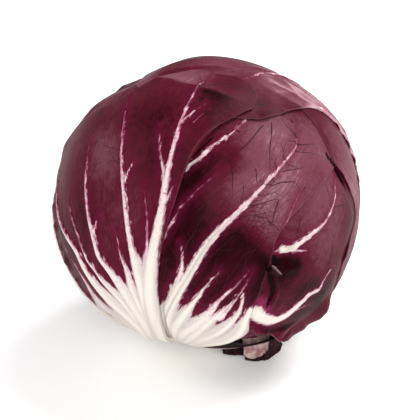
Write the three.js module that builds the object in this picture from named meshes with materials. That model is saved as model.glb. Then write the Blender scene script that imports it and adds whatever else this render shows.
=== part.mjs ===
// A head of round radicchio, picked and trimmed, lying on its stem end.
// Millimetres, +Z up. The origin is the middle of the small flat it rests on.
//
// Every leaf is a thin blade wrapped on the same egg-shaped skin. A place on the skin is given by
// two angles: "up", 0 at the stem and 180 at the crown, and "round", 0 at the front and growing
// towards +X. A leaf is lofted through lines that start at the stem and end at its far edge. The
// first and the last line are its side margins, and most of the others carry a raised rib.
import * as THREE from "three";

// The head.
const WAIST_RADIUS = 60; // the widest part, at right angles to the stem
const POLE_RADIUS = 57; // centre to crown, and centre to stem
const CROWN_POWER = 2; // a true ellipse over the crown
const STEM_POWER = 2.3; // fuller towards the stem, where the ribs are thick
const LEAN = 32; // degrees, stem axis from upright
const LEAN_ROUND = 66; // degrees from +X towards +Y, where the crown leans to
const CENTRE_HEIGHT = 58.5; // less than the radius below it, which leaves a flat to rest on

// The leaves.
const BLADE = 0.8; // thickness of a blade
const GAP = 0.55; // air between two blades
const PLATEAU = 7; // how far past a margin the blade below stays pressed down
const SLOPE = 13; // over what width it rises again to the skin
const EDGE_WAVE = 1.1; // height of the ripples along a free margin
const EDGE_BAND = 9; // width of the margin that ripples
const WAVE_FROM = 0.25; // part of the way out where the ripples begin
const WAVE_FULL = 0.5; // and where they reach their height
const RIB_END = 0.5; // half width of a rib where it runs out
const RIB_FOOT = 1.2; // how far a rib's foot reaches, in half widths
const ROWS = 20; // steps from the stem to the far edge
const BROAD = 0.6; // part of the way out where the columns are counted
const WIDEST_COLUMN = 11; // lines further apart than this have a grid column between them
const NARROW_SHOULDER = 0.1; // a rib's shoulder, as a part of the space to the next line
const BROAD_SHOULDER = 0.4;
const OUTLINE_STEPS = 14; // points on each side of a leaf's outline

// The stem, a cut stub that the leaves grow from.
const STEM_RADIUS = 9.5;
const STEM_NECK = 8.1; // radius at its inner end
const STEM_DEEP = 44.5; // its inner end, from the centre
const STEM_FACE = 56; // its cut face, from the centre
const STEM_DOME = 0.8; // how far the middle of the cut face stands out
const STEM_ROUNDING = 1; // at the rim of the cut face
const STEM_SIDES = 28;

// The pocket for the stem in the heart.
const POCKET_FLOOR = 11; // degrees, edge of its floor
const POCKET_RIM = 17; // degrees, where its wall has reached the leaves
const POCKET_WALL = 13; // degrees, where its wall begins

// The heart, the inner leaves packed tight.
const HEART_ROWS = 26;
const HEART_COLUMNS = 36;
const HEART_FOLDS = 5; // leaf edges spiralling round it
const HEART_FOLD_DEPTH = 0.5;

// The colours and how rough each surface is.
const BURGUNDY = { color: 0x5a1230, roughness: 0.42 };
const PLUM = { color: 0x6b2a48, roughness: 0.42 };
const WINE = { color: 0x4a0d26, roughness: 0.42 };
const IVORY = { color: 0xefe8d8, roughness: 0.6 };
const DRIED = { color: 0x24070c, roughness: 0.7 };

const radians = THREE.MathUtils.degToRad;
const { smoothstep, clamp, lerp } = THREE.MathUtils;
const LOWEST_Z = -0.1; // a ray flatter than this meets the surface far outside the head
const CENTRE = new THREE.Vector3(0, 0, CENTRE_HEIGHT);
const AXIS = new THREE.Vector3(
  Math.sin(radians(LEAN)) * Math.cos(radians(LEAN_ROUND)),
  Math.sin(radians(LEAN)) * Math.sin(radians(LEAN_ROUND)),
  Math.cos(radians(LEAN)),
);
const FRONT = new THREE.Vector3(0, -1, 0).projectOnPlane(AXIS).normalize();
const SIDE = new THREE.Vector3().crossVectors(AXIS, FRONT);

// The unit vector from the centre to a place on the skin.
function direction(up, round) {
  const a = radians(up);
  const b = radians(round);
  return new THREE.Vector3()
    .addScaledVector(AXIS, -Math.cos(a))
    .addScaledVector(FRONT, Math.sin(a) * Math.cos(b))
    .addScaledVector(SIDE, Math.sin(a) * Math.sin(b));
}

// The skin: a superellipse turned about the stem axis, cut flat where it meets the surface.
function skinRadius(dir) {
  const along = dir.dot(AXIS);
  const across = Math.sqrt(Math.max(0, 1 - along * along));
  const power = along < 0 ? STEM_POWER : CROWN_POWER;
  const sum = (across / WAIST_RADIUS) ** power + (Math.abs(along) / POLE_RADIUS) ** power;
  return Math.min(sum ** (-1 / power), floorRadius(dir));
}

// How far a ray from the centre runs before it meets the surface that the head lies on.
function floorRadius(dir) {
  return dir.z < LOWEST_Z ? CENTRE_HEIGHT / -dir.z : Infinity;
}

function place(dir, radius) {
  return CENTRE.clone().addScaledVector(dir, radius);
}

function smoothCurve(points) {
  return new THREE.CatmullRomCurve3(points, false, "catmullrom", 0.5);
}

class Leaf {
  // lines: each [up, round] from the stem outwards, all with the same number of points.
  // ribs: line index -> [height, width, reach], in mm at the stem and as a part of the line.
  // flare: [height, from, to, side], a stretch of one margin that stands off the head.
  constructor({ name, finish, lines, ribs, flare = [0, 0, 1, 1], waves = 5 }) {
    this.name = name;
    this.finish = finish;
    this.ribs = ribs;
    this.flare = flare;
    this.waves = waves;
    this.last = lines.length - 1;
    this.curves = lines.map((line) => smoothCurve(line.map(([up, round]) => direction(up, round))));
    this.wide = lines.slice(1).map((_, line) => this.spacing(BROAD, line) > WIDEST_COLUMN);
    this.outline = this.traceOutline();
    this.middle = this.at(0.5, this.last / 2);
    this.east = new THREE.Vector3(0, 0, 1).cross(this.middle).normalize();
    this.north = new THREE.Vector3().crossVectors(this.middle, this.east);
    this.flatOutline = this.outline.map((dir) => this.flatten(dir));
  }

  // The direction at a part u of the way to the far edge, on line v, which may be a fraction.
  at(u, v) {
    const across = smoothCurve(this.curves.map((curve) => curve.getPoint(u)));
    return across.getPoint(v / this.last).normalize();
  }

  // Distance in mm between a line and the next one.
  spacing(u, line) {
    return WAIST_RADIUS * this.at(u, line).angleTo(this.at(u, line + 1));
  }

  traceOutline() {
    const steps = Array.from({ length: OUTLINE_STEPS }, (_, i) => i / OUTLINE_STEPS);
    return [
      ...steps.map((s) => this.at(s, 0)),
      ...steps.map((s) => this.at(1, s * this.last)),
      ...steps.map((s) => this.at(1 - s, this.last)),
      ...steps.map((s) => this.at(0, (1 - s) * this.last)),
    ];
  }

  // Azimuthal map of the sphere about the middle of the leaf.
  flatten(dir) {
    const away = Math.acos(clamp(dir.dot(this.middle), -1, 1));
    const flat = new THREE.Vector2(dir.dot(this.east), dir.dot(this.north));
    return flat.setLength(away);
  }

  // Distance from the outline in mm, positive on the leaf and negative off it.
  inset(dir) {
    const point = this.flatten(dir);
    const closest = new THREE.Vector3();
    const side = new THREE.Line3();
    let nearest = Infinity;
    let inside = false;
    this.outline.forEach((start, i) => {
      const next = (i + 1) % this.outline.length;
      side.set(start, this.outline[next]).closestPointToPoint(dir, true, closest);
      nearest = Math.min(nearest, closest.distanceTo(dir));
      const a = this.flatOutline[i];
      const b = this.flatOutline[next];
      if (a.y > point.y !== b.y > point.y) {
        const crossing = a.x + ((point.y - a.y) * (b.x - a.x)) / (b.y - a.y);
        if (point.x < crossing) inside = !inside;
      }
    });
    return (inside ? nearest : -nearest) * WAIST_RADIUS;
  }

  // 1 where the leaf presses on what is below it, 0 well away from it.
  cover(dir) {
    return smoothstep(this.inset(dir), -PLATEAU - SLOPE, -PLATEAU);
  }

  // Height and half width of the rib on a line, in mm, at a part u of the way out.
  rib(line, u) {
    const [height, width, reach] = this.ribs[line] ?? [0, 0, 1];
    const left = Math.max(0, 1 - u / reach);
    return { height: height * left, half: RIB_END + (width / 2) * left };
  }

  // How far the ribs raise the outer face: round ridges, which merge where they come together.
  relief(u, v) {
    const ridges = Object.keys(this.ribs).map(Number).map((line) => {
      const { height, half } = this.rib(line, u);
      const beside = clamp(Math.floor(Math.min(v, line)), 0, this.last - 1);
      const away = (Math.abs(v - line) * this.spacing(u, beside)) / (RIB_FOOT * half);
      return height * Math.max(0, 1 - away * away);
    });
    return Math.max(0, ...ridges);
  }

  // The grid columns at a part u. A rib has its crest and two shoulders.
  columns(u) {
    const at = [0];
    for (let line = 0; line < this.last; line++) {
      const spacing = this.spacing(u, line);
      const shoulder = (n) =>
        clamp(this.rib(n, u).half / spacing, NARROW_SHOULDER, BROAD_SHOULDER);
      if (this.ribs[line]) at.push(line + shoulder(line));
      if (this.wide[line]) at.push(line + 0.5);
      if (this.ribs[line + 1]) at.push(line + 1 - shoulder(line + 1));
      at.push(line + 1);
    }
    return at;
  }

  // How far the blade stands off its bed: ripples along the margins, and the flare.
  lift(u, v, inset) {
    const edge = smoothstep(-inset, -EDGE_BAND, 0) * smoothstep(u, WAVE_FROM, WAVE_FULL);
    const ripple = 0.5 + 0.5 * Math.sin(this.waves * 2 * Math.PI * (u + v / this.last));
    const [height, from, to, side] = this.flare;
    const along = smoothstep(u, from, (from + to) / 2) * (1 - smoothstep(u, (from + to) / 2, to));
    const towards = clamp(side > 0 ? v - this.last + 2 : 2 - v, 0, 2) / 2;
    return EDGE_WAVE * edge * ripple + height * along * towards * towards;
  }

  // A closed solid: an outer face, an inner face with the same triangles, and a rim.
  build(above) {
    const outer = [];
    const inner = [];
    for (let i = 0; i <= ROWS; i++) {
      const u = i / ROWS;
      const row = this.columns(u);
      outer.push([]);
      inner.push([]);
      for (const v of row) {
        const dir = this.at(u, v);
        const covers = above.map((leaf) => leaf.cover(dir));
        const pressed = covers.reduce((sum, cover) => sum + cover * (BLADE + GAP), 0);
        const free = 1 - Math.max(0, ...covers);
        const lift = free * this.lift(u, v, this.inset(dir));
        const height = this.relief(u, v);
        const bed = skinRadius(dir) - pressed;
        const low = Math.min(bed - BLADE + lift, floorRadius(dir) - BLADE);
        const high = Math.min(bed + lift + free * height, floorRadius(dir));
        outer[i].push(place(dir, high));
        inner[i].push(place(dir, low));
      }
    }
    return shellGeometry(outer, inner);
  }
}

// Joins two grids of points, an outer and an inner one, into one closed faceted solid.
function shellGeometry(outer, inner) {
  const rows = outer.length;
  const columns = outer[0].length;
  const points = [...outer.flat(), ...inner.flat()];
  const index = [];
  const id = (layer, i, j) => layer * rows * columns + i * columns + j;
  const quad = (a, b, c, d) => index.push(a, b, c, a, c, d);
  for (let i = 0; i < rows - 1; i++) {
    for (let j = 0; j < columns - 1; j++) {
      quad(id(0, i, j), id(0, i, j + 1), id(0, i + 1, j + 1), id(0, i + 1, j));
      index.push(id(1, i, j), id(1, i + 1, j + 1), id(1, i, j + 1));
      index.push(id(1, i, j), id(1, i + 1, j), id(1, i + 1, j + 1));
    }
    quad(id(0, i, 0), id(0, i + 1, 0), id(1, i + 1, 0), id(1, i, 0));
    const j = columns - 1;
    quad(id(0, i + 1, j), id(0, i, j), id(1, i, j), id(1, i + 1, j));
  }
  for (let j = 0; j < columns - 1; j++) {
    quad(id(0, 0, j + 1), id(0, 0, j), id(1, 0, j), id(1, 0, j + 1));
    const i = rows - 1;
    quad(id(0, i, j), id(0, i, j + 1), id(1, i, j + 1), id(1, i, j));
  }
  const geometry = new THREE.BufferGeometry().setFromPoints(points);
  geometry.setIndex(index);
  geometry.computeVertexNormals();
  return geometry;
}

// Ribs, as [height, width, reach].
const MIDRIB = [2.6, 7, 0.95];
const STRONG = [1.8, 4.5, 0.9];
const SLIGHT = [1.2, 3, 0.75];

// The outer leaves, from the outermost inwards. Each presses down those after it.
const LEAVES = [
  new Leaf({
    name: "leaf_front_left",
    finish: BURGUNDY,
    lines: [
      [[11, -66], [27, -68], [43, -72], [58, -74], [73, -80], [88, -87], [104, -86]],
      [[11, -52], [27, -38], [42, -51], [58, -62.5], [72, -73], [88, -80], [107, -80]],
      [[11, -44], [28, -31], [43, -34], [59, -45], [76, -52], [98, -58], [120, -64]],
      [[11, -36], [28, -25.5], [46, -26], [62, -29.5], [80, -34.5], [103, -43], [131, -53]],
      [[11, -30], [30, -22], [49, -23], [68, -25], [90, -28], [112, -32], [137, -34]],
      [[11, -24], [31, -19.3], [51, -20], [71, -20.5], [91, -21.3], [112, -21.8], [139, -17]],
      [[11, -20], [31, -18.2], [51, -18.6], [71, -18.4], [92, -18], [114, -14], [138.5, -4]],
      [[11, -17], [31, -17.2], [49, -17.6], [70, -17], [92, -16.2], [112, -8], [131, 5.5]],
      [[11, -13], [31, -16], [47, -16.8], [68, -16], [88, -15.3], [105, -11], [122.5, 4]],
    ],
    ribs: { 1: STRONG, 2: STRONG, 3: STRONG, 5: MIDRIB },
  }),
  new Leaf({
    name: "leaf_crown",
    finish: PLUM,
    lines: [
      [[11, 122], [34, 118], [60, 106], [86, 88], [106, 68], [130, 38], [119, 8], [118, -12]],
      [[11, 138], [35, 134], [61, 125], [87, 113], [112, 96], [138, 62], [138, 12], [128, -20]],
      [[11, 152], [36, 151], [62, 144], [88, 135], [115, 122], [145, 95], [156, 35], [140, -30]],
      [[11, 166], [36, 168], [62, 164], [88, 157], [115, 150], [146, 140], [172, 80], [150, -42]],
      [[11, 182], [35, 186], [60, 184], [86, 179], [113, 176], [142, 184], [166, -120], [153, -65]],
    ],
    ribs: { 1: STRONG, 2: MIDRIB, 3: STRONG },
  }),
  new Leaf({
    name: "leaf_far_right",
    finish: PLUM,
    lines: [
      [[11, 58], [30, 65], [46, 73], [61, 76], [77, 57], [94, 62.5], [109, 46], [128, 33]],
      [[11, 74], [31, 82], [49, 86], [67, 82], [85, 74], [101, 72], [117, 62], [134, 44]],
      [[11, 92], [32, 101], [53, 99], [74, 96], [94, 92], [113, 86], [130, 75], [142, 60]],
      [[11, 108], [32, 112], [53, 114], [74, 114], [94, 113], [112, 110], [128, 104], [142, 90]],
      [[11, 125], [31, 129], [51, 133], [71, 135], [90, 135], [106, 133], [120, 128], [133, 112]],
    ],
    ribs: { 1: SLIGHT, 2: MIDRIB, 3: STRONG },
  }),
  new Leaf({
    name: "leaf_front_right",
    finish: BURGUNDY,
    lines: [
      [[11, -30], [30, -32], [50, -34], [70, -34], [92, -32], [112, -24], [132, -8]],
      [[11, -24], [30, -23], [50, -24], [70, -24], [90, -18], [108, -6.5], [134, 9]],
      [[11, -19], [30, -18], [50, -18.5], [70, -18], [84, -12.5], [102, -1], [133, 18]],
      [[11, -14], [32, -15.5], [46, -12], [61, -6.4], [79, 1.7], [100, 15.2], [131, 26]],
      [[11, -9], [30, -10], [42, -5], [53, -0.7], [70, 7.5], [94, 21], [128, 35]],
      [[11, -3], [28, -3], [40, 4], [52, 7.5], [66, 14.4], [89, 22.5], [124, 42]],
      [[11, 4], [26, 4], [39, 9.5], [50.5, 13.2], [63, 17.2], [86, 23], [119, 45]],
      [[11, 14], [25, 12], [37, 16.5], [50, 19], [66, 20], [85, 23.2], [114, 46]],
    ],
    ribs: { 1: SLIGHT, 2: SLIGHT, 3: MIDRIB, 4: SLIGHT, 5: SLIGHT, 6: SLIGHT },
  }),
  new Leaf({
    name: "leaf_right",
    finish: WINE,
    lines: [
      [[11, 5], [28, 6], [45, 8], [62, 8], [80, 9], [100, 18], [117, 28]],
      [[11, 14], [28, 14], [45, 19], [60, 21], [74, 23], [90, 40.5], [112, 46]],
      [[11, 24], [28, 21], [43, 25], [54, 32], [66, 38], [84, 47], [106, 54]],
      [[11, 34], [28, 28], [42, 30], [50, 36], [58, 45.5], [69, 51.5], [96, 64]],
      [[11, 46], [26, 40], [38, 44], [46, 52], [54, 58], [66, 62], [86, 74]],
      [[11, 58], [24, 56], [34, 58], [42, 64], [50, 70], [62, 72], [78, 80]],
    ],
    ribs: { 1: STRONG, 3: MIDRIB },
    flare: [5, 0.3, 0.95, 1],
    waves: 7,
  }),
  new Leaf({
    name: "leaf_back",
    finish: BURGUNDY,
    lines: [
      [[11, 176], [32, 172], [55, 166], [80, 160], [105, 158], [129, 163], [150, 168]],
      [[11, 190], [33, 188], [57, 185], [82, 180], [107, 180], [133, 186], [159, 188]],
      [[11, 205], [34, 206], [58, 205], [84, 203], [110, 205], [137, 212], [165, 222]],
      [[11, 221], [33, 223], [57, 224], [82, 226], [107, 230], [133, 240], [160, 262]],
      [[11, 238], [32, 238], [55, 242], [80, 247], [104, 251], [126, 259], [149, 276]],
    ],
    ribs: { 1: STRONG, 2: MIDRIB, 3: STRONG },
  }),
  new Leaf({
    name: "leaf_back_left",
    finish: BURGUNDY,
    lines: [
      [[11, 230], [30, 230], [52, 228], [76, 228], [100, 232], [123, 241], [145, 258]],
      [[11, 247], [31, 248], [54, 247], [79, 248], [104, 253], [130, 263], [157, 284]],
      [[11, 265], [32, 267], [56, 267], [82, 270], [108, 276], [135, 287], [163, 316]],
      [[11, 283], [31, 284], [54, 286], [79, 290], [104, 294], [128, 304], [152, 330]],
      [[11, 301], [30, 302], [50, 304], [73, 307], [97, 310], [119, 315], [136, 324]],
    ],
    ribs: { 1: STRONG, 2: MIDRIB, 3: STRONG },
  }),
];

// The stump of an old leaf, torn off short. It curls out from the stem over the surface and its
// lines are [up, round, distance from the centre].
const TORN_BLADE = 1.4;
const TORN_ROWS = 10;
const TORN_COLUMNS = 6;
const TORN_LINES = [
  [[10.6, 22, 57.4], [24, 56, 61.6], [33, 70, 63], [39, 79, 63.4], [44, 87, 63.2]],
  [[10.6, 34, 57.4], [22, 64, 61.6], [29, 77, 64], [35, 85, 65], [41, 91, 64]],
  [[10.6, 46, 57.4], [19, 72, 61.4], [24, 84, 64.4], [30, 90, 66.4], [36, 95, 65]],
];

function tornLeafGeometry() {
  const curves = TORN_LINES.map((line) =>
    smoothCurve(line.map(([up, round, radius]) => place(direction(up, round), radius))),
  );
  const outer = [];
  for (let i = 0; i <= TORN_ROWS; i++) {
    const across = smoothCurve(curves.map((curve) => curve.getPoint(i / TORN_ROWS)));
    outer.push(across.getPoints(TORN_COLUMNS));
  }
  const sink = (point) => point.clone().lerp(CENTRE, TORN_BLADE / point.distanceTo(CENTRE));
  return shellGeometry(outer, outer.map((row) => row.map(sink)));
}

// The heart: a closed ball under all the leaves, with the edges of inner leaves as low folds
// and a pocket for the stem.
function heartGeometry() {
  const points = [];
  const index = [];
  const radiusAt = (up, round) => {
    const dir = direction(up, round);
    const covers = LEAVES.map((leaf) => leaf.cover(dir));
    const pressed = covers.reduce((sum, cover) => sum + cover * (BLADE + GAP), 0);
    const turn = (round / 360) * HEART_FOLDS + up / 90;
    const fold = HEART_FOLD_DEPTH * (turn - Math.floor(turn)) * Math.sin(radians(up));
    const packed = skinRadius(dir) - pressed - GAP - fold;
    const pocket = (STEM_DEEP - GAP) / Math.cos(radians(Math.min(up, POCKET_RIM)));
    return lerp(pocket, packed, smoothstep(up, POCKET_WALL, POCKET_RIM));
  };
  points.push(place(direction(0, 0), radiusAt(0, 0)));
  for (let i = 1; i < HEART_ROWS; i++) {
    const up = lerp(POCKET_FLOOR, 180, (i - 1) / (HEART_ROWS - 1));
    for (let j = 0; j < HEART_COLUMNS; j++) {
      const round = (j / HEART_COLUMNS) * 360;
      points.push(place(direction(up, round), radiusAt(up, round)));
    }
  }
  points.push(place(direction(180, 0), radiusAt(180, 0)));
  const ring = (i, j) => 1 + (i - 1) * HEART_COLUMNS + (j % HEART_COLUMNS);
  for (let j = 0; j < HEART_COLUMNS; j++) {
    index.push(0, ring(1, j + 1), ring(1, j));
    for (let i = 1; i < HEART_ROWS - 1; i++) {
      index.push(ring(i, j), ring(i, j + 1), ring(i + 1, j + 1));
      index.push(ring(i, j), ring(i + 1, j + 1), ring(i + 1, j));
    }
    index.push(ring(HEART_ROWS - 1, j), ring(HEART_ROWS - 1, j + 1), points.length - 1);
  }
  const geometry = new THREE.BufferGeometry().setFromPoints(points);
  geometry.setIndex(index);
  geometry.computeVertexNormals();
  return geometry;
}

// The stem: a stub turned about the stem axis, with a slightly domed cut face.
function stemGeometry() {
  const profile = [
    [0, STEM_DEEP],
    [STEM_NECK, STEM_DEEP],
    [STEM_RADIUS, STEM_FACE - STEM_ROUNDING],
    [STEM_RADIUS - STEM_ROUNDING, STEM_FACE],
    [0, STEM_FACE + STEM_DOME],
  ].map(([radius, height]) => new THREE.Vector2(radius, height));
  return new THREE.LatheGeometry(profile, STEM_SIDES);
}

function meshOf(name, geometry, finish) {
  const mesh = new THREE.Mesh(geometry, new THREE.MeshStandardMaterial(finish));
  mesh.name = name;
  return mesh;
}

const head = new THREE.Group();
head.name = "radicchio_head";

LEAVES.forEach((leaf, order) => {
  head.add(meshOf(leaf.name, leaf.build(LEAVES.slice(0, order)), leaf.finish));
});
head.add(meshOf("leaf_torn", tornLeafGeometry(), DRIED));
head.add(meshOf("heart", heartGeometry(), WINE));

const stem = meshOf("stem", stemGeometry(), IVORY);
stem.quaternion.setFromUnitVectors(new THREE.Vector3(0, 1, 0), AXIS.clone().negate());
stem.position.copy(CENTRE);
head.add(stem);

export default head;
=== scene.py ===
"""A head of round radicchio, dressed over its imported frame.

Lengths are worked out in millimetres in the frame of the head and written to the meshes in
metres. A place on the head is given by two angles: "up", 0 at the stem and 180 at the crown, and
"round", 0 at the front and growing towards +X.
"""

import logging
import math
from dataclasses import dataclass, field
from enum import Enum
from functools import partial

import bpy
import numpy as np
from mathutils import Matrix


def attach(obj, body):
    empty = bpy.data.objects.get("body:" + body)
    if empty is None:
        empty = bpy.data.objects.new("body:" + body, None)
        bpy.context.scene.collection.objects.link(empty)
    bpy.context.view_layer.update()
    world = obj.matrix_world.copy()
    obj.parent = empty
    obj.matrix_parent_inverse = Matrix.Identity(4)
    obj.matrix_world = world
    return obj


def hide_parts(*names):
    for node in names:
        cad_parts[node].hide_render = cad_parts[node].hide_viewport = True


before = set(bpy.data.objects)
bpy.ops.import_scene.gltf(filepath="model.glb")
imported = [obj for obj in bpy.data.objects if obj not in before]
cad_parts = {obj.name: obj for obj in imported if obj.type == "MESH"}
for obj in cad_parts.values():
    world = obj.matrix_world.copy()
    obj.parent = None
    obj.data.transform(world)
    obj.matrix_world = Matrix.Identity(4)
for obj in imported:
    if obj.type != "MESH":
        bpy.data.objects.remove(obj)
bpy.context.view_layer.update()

LOG = logging.getLogger("radicchio")
MM = 0.001
TAU = 2 * math.pi
BODY = "root"
WAVES = (1.0, 1.7, 2.9, 5.3)  # the waves of a wandering line, as shares of its main one
WAVES_SUM = 2.2  # about how far they reach together
NOWHERE = 1e6  # a distance past everything, in mm
LEVEL = 0.1  # how far below level a ray must point to meet the floor
TIE = 1e-7  # distances that differ by less are taken as the same
TRACE_STEPS = 8  # points of a traced path for each place that it passes
COARSE_ROWS = 24  # rows of the first, rough grid of a leaf
OUTLINE_STEP = 1.6  # between points of a leaf's outline, in mm
JAG_WAVE = 17.0  # length of the unevenness of a margin, in mm
JAG_FADE = (15, 40)  # how far from the stem it begins and is full, in mm
OTHER_SIDE = 50  # what the second margin adds to a leaf's seed
OFF_RIB = -12.0  # how far inside a rib a leaf without one is, in mm
GROOVE_HALF = 0.45  # half the width of the line along a rib's middle, in mm
CREASE = 2.5  # how sharp the crease between two ribs that meet is
EMERGE = 1.8  # how far from under a leaf a rib reaches its full height, in mm
ABOVE = 1.5  # how far over the skin a vein's course starts out, before it is laid down, in mm
NO_RIB = -6.0  # the mark "rib" of a piece without ribs
LOFT_PATTERN = 0.005  # pattern units for each step of a small blade's grid
LEAF_PATTERN = 100  # mm on a leaf for one pattern unit
SHARP = 60.0  # degrees past which an edge looks sharp

Place = tuple[float, float]
Ends = tuple[float, float]
Point = tuple[float, float, float]
Colour = tuple[float, float, float]
Values = dict | None
Array = np.ndarray
Piece = bpy.types.Object
Material = bpy.types.Material
Socket = bpy.types.NodeSocket


# ---- Arithmetic on arrays ----


def smooth(x: Array, low: float, high: float) -> Array:
    """Rises smoothly from 0 where x is low to 1 where x is high."""
    t = np.clip((x - low) / (high - low), 0, 1)
    return t * t * (3 - 2 * t)


def faded(part: Array, start: float, end: float) -> Array:
    """1 along a path, falling to 0 at its ends over the given shares of its length."""
    return smooth(part, 0, start) * (1 - smooth(part, 1 - end, 1))


def unit(vectors: Array) -> Array:
    """Scales vectors, held in the last axis, to length 1."""
    return vectors / np.linalg.norm(vectors, axis=-1, keepdims=True)


def steps_of(points: Array, axis: int = 0) -> Array:
    """Distances between neighbours along an axis, with the coordinates in the last axis."""
    return np.linalg.norm(np.diff(points, axis=axis), axis=-1)


def from_start(lengths: Array) -> Array:
    """Distances from the start of a path, given the lengths of its steps."""
    return np.concatenate([[0], np.cumsum(lengths)])


def curve_through(points: Array, at: Array) -> Array:
    """Samples a uniform Catmull-Rom curve.

    Args:
        points: The points it passes through, along the first axis.
        at: Where to sample it, from 0 to 1.

    Returns:
        One sample for each value of at, along the first axis.
    """
    ends = (2 * points[:1] - points[1:2], points, 2 * points[-1:] - points[-2:-1])
    held = np.concatenate(ends)
    place = np.asarray(at) * (len(points) - 1)
    i = np.clip(np.floor(place).astype(int), 0, len(points) - 2)
    t = (place - i).reshape(-1, *[1] * (points.ndim - 1))
    p0, p1, p2, p3 = (held[i + n] for n in range(4))
    m1, m2 = (p2 - p0) / 2, (p3 - p1) / 2
    return (
        (2 * t**3 - 3 * t**2 + 1) * p1
        + (t**3 - 2 * t**2 + t) * m1
        + (3 * t**2 - 2 * t**3) * p2
        + (t**3 - t**2) * m2
    )


def wander(x: Array, size: float, seed: int, calm: float = 0.8) -> Array:
    """A smooth random line made of sines, from about -1 to 1.

    Args:
        x: Distance along the line.
        size: Its main wavelength, in the unit of x.
        seed: Which line.
        calm: How fast the shorter waves get weaker.

    Returns:
        An array like x.
    """
    rng = np.random.default_rng(seed)
    total = np.zeros_like(x, dtype=float)
    for octave in WAVES:
        total += np.sin(TAU * x * octave / size + rng.uniform(0, TAU)) / octave**calm
    return total / WAVES_SUM


# ---- The head's skin, the egg that the leaves wrap ----


@dataclass(frozen=True)
class Spot:
    """A soft spot of a bump, a dent or a colour.

    Attributes:
        place: Its middle.
        size: How far it reaches, in mm.
        strength: Height in mm, or strength of the colour, in the middle.
    """

    place: Place
    size: float
    strength: float


@dataclass(frozen=True)
class Skin:
    """The egg-shaped surface that the leaves wrap, in mm.

    Attributes:
        waist: Radius at right angles to the stem.
        pole: Centre to stem, and centre to crown.
        crown_power: Fullness over the crown, 2 for an ellipse.
        stem_power: Fullness towards the stem.
        lean: Degrees between the stem axis and upright.
        lean_round: Degrees from +X towards +Y, where the crown leans to.
        centre_height: Above the surface that the head lies on.
        swells: Bumps and dents of the whole head.
    """

    waist: float = 60.0
    pole: float = 57.0
    crown_power: float = 2.0
    stem_power: float = 2.3
    lean: float = 32.0
    lean_round: float = 66.0
    centre_height: float = 58.5
    swells: tuple[Spot, ...] = ()

    def axes(self) -> Array:
        """Works out the head's own directions.

        Returns:
            The crown's direction, the front and the side, as rows.
        """
        tilt, heading = math.radians(self.lean), math.radians(self.lean_round)
        out = math.sin(tilt)
        axis = np.array([out * math.cos(heading), out * math.sin(heading), math.cos(tilt)])
        front = np.array([0.0, -1.0, 0.0])
        front = unit(front - axis * (front @ axis))
        return np.stack([axis, front, np.cross(axis, front)])

    def direction(self, places: Array) -> Array:
        """Turns [up, round] pairs into unit vectors from the centre.

        Args:
            places: Pairs of angles in degrees, in the last axis.

        Returns:
            Unit vectors, in the last axis.
        """
        up, around = np.radians(np.moveaxis(np.asarray(places, float), -1, 0))
        axis, front, side = self.axes()
        return (
            -np.cos(up)[..., None] * axis
            + (np.sin(up) * np.cos(around))[..., None] * front
            + (np.sin(up) * np.sin(around))[..., None] * side
        )

    def floor(self, dirs: Array) -> Array:
        """How far a ray from the centre runs before it meets the surface below."""
        down = np.maximum(-dirs[..., 2], LEVEL)
        return np.where(dirs[..., 2] < -LEVEL, self.centre_height / down, NOWHERE)

    def radius(self, dirs: Array) -> Array:
        """Distance from the centre to the skin.

        Args:
            dirs: Unit vectors.

        Returns:
            The distance for each of them.
        """
        along = dirs @ self.axes()[0]
        across = np.sqrt(np.maximum(0, 1 - along**2))
        power = np.where(along < 0, self.stem_power, self.crown_power)
        total = (across / self.waist) ** power + (np.abs(along) / self.pole) ** power
        radius = total ** (-1 / power)
        for swell in self.swells:
            radius += swell.strength * self.nearness(dirs, swell)
        return np.minimum(radius, self.floor(dirs))

    def nearness(self, dirs: Array, spot: Spot) -> Array:
        """1 at the middle of a spot, falling to 0 well beyond its size."""
        apart = np.linalg.norm(dirs - self.direction(spot.place), axis=-1) * self.waist
        return np.exp(-((apart / spot.size) ** 2))

    def points(self, dirs: Array, radius: Array) -> Array:
        """Points at a radius from the centre, in mm in the frame of the head."""
        return dirs * radius[..., None] + np.array([0, 0, self.centre_height])


SKIN = Skin(
    swells=(
        Spot((133, -80), 17, -3.4),
        Spot((118, -60), 14, -0.8),
        Spot((50, -90), 15, -0.9),
        Spot((131, 68), 20, 1.5),
    )
)


def spots(several: tuple[Spot, ...], dirs: Array) -> Array:
    """Adds up soft spots.

    Args:
        several: The spots.
        dirs: Unit vectors.

    Returns:
        The total for each vector.
    """
    total = np.zeros(dirs.shape[:-1])
    for spot in several:
        total += spot.strength * SKIN.nearness(dirs, spot)
    return total


@dataclass
class Nearest:
    """The nearest place on a path, for each of many points.

    Attributes:
        away: Distance to the path, in mm.
        part: Where on the path, from 0 to 1.
        side: +1 on the left of the path, -1 on its right.
    """

    away: Array
    part: Array
    side: Array


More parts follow.
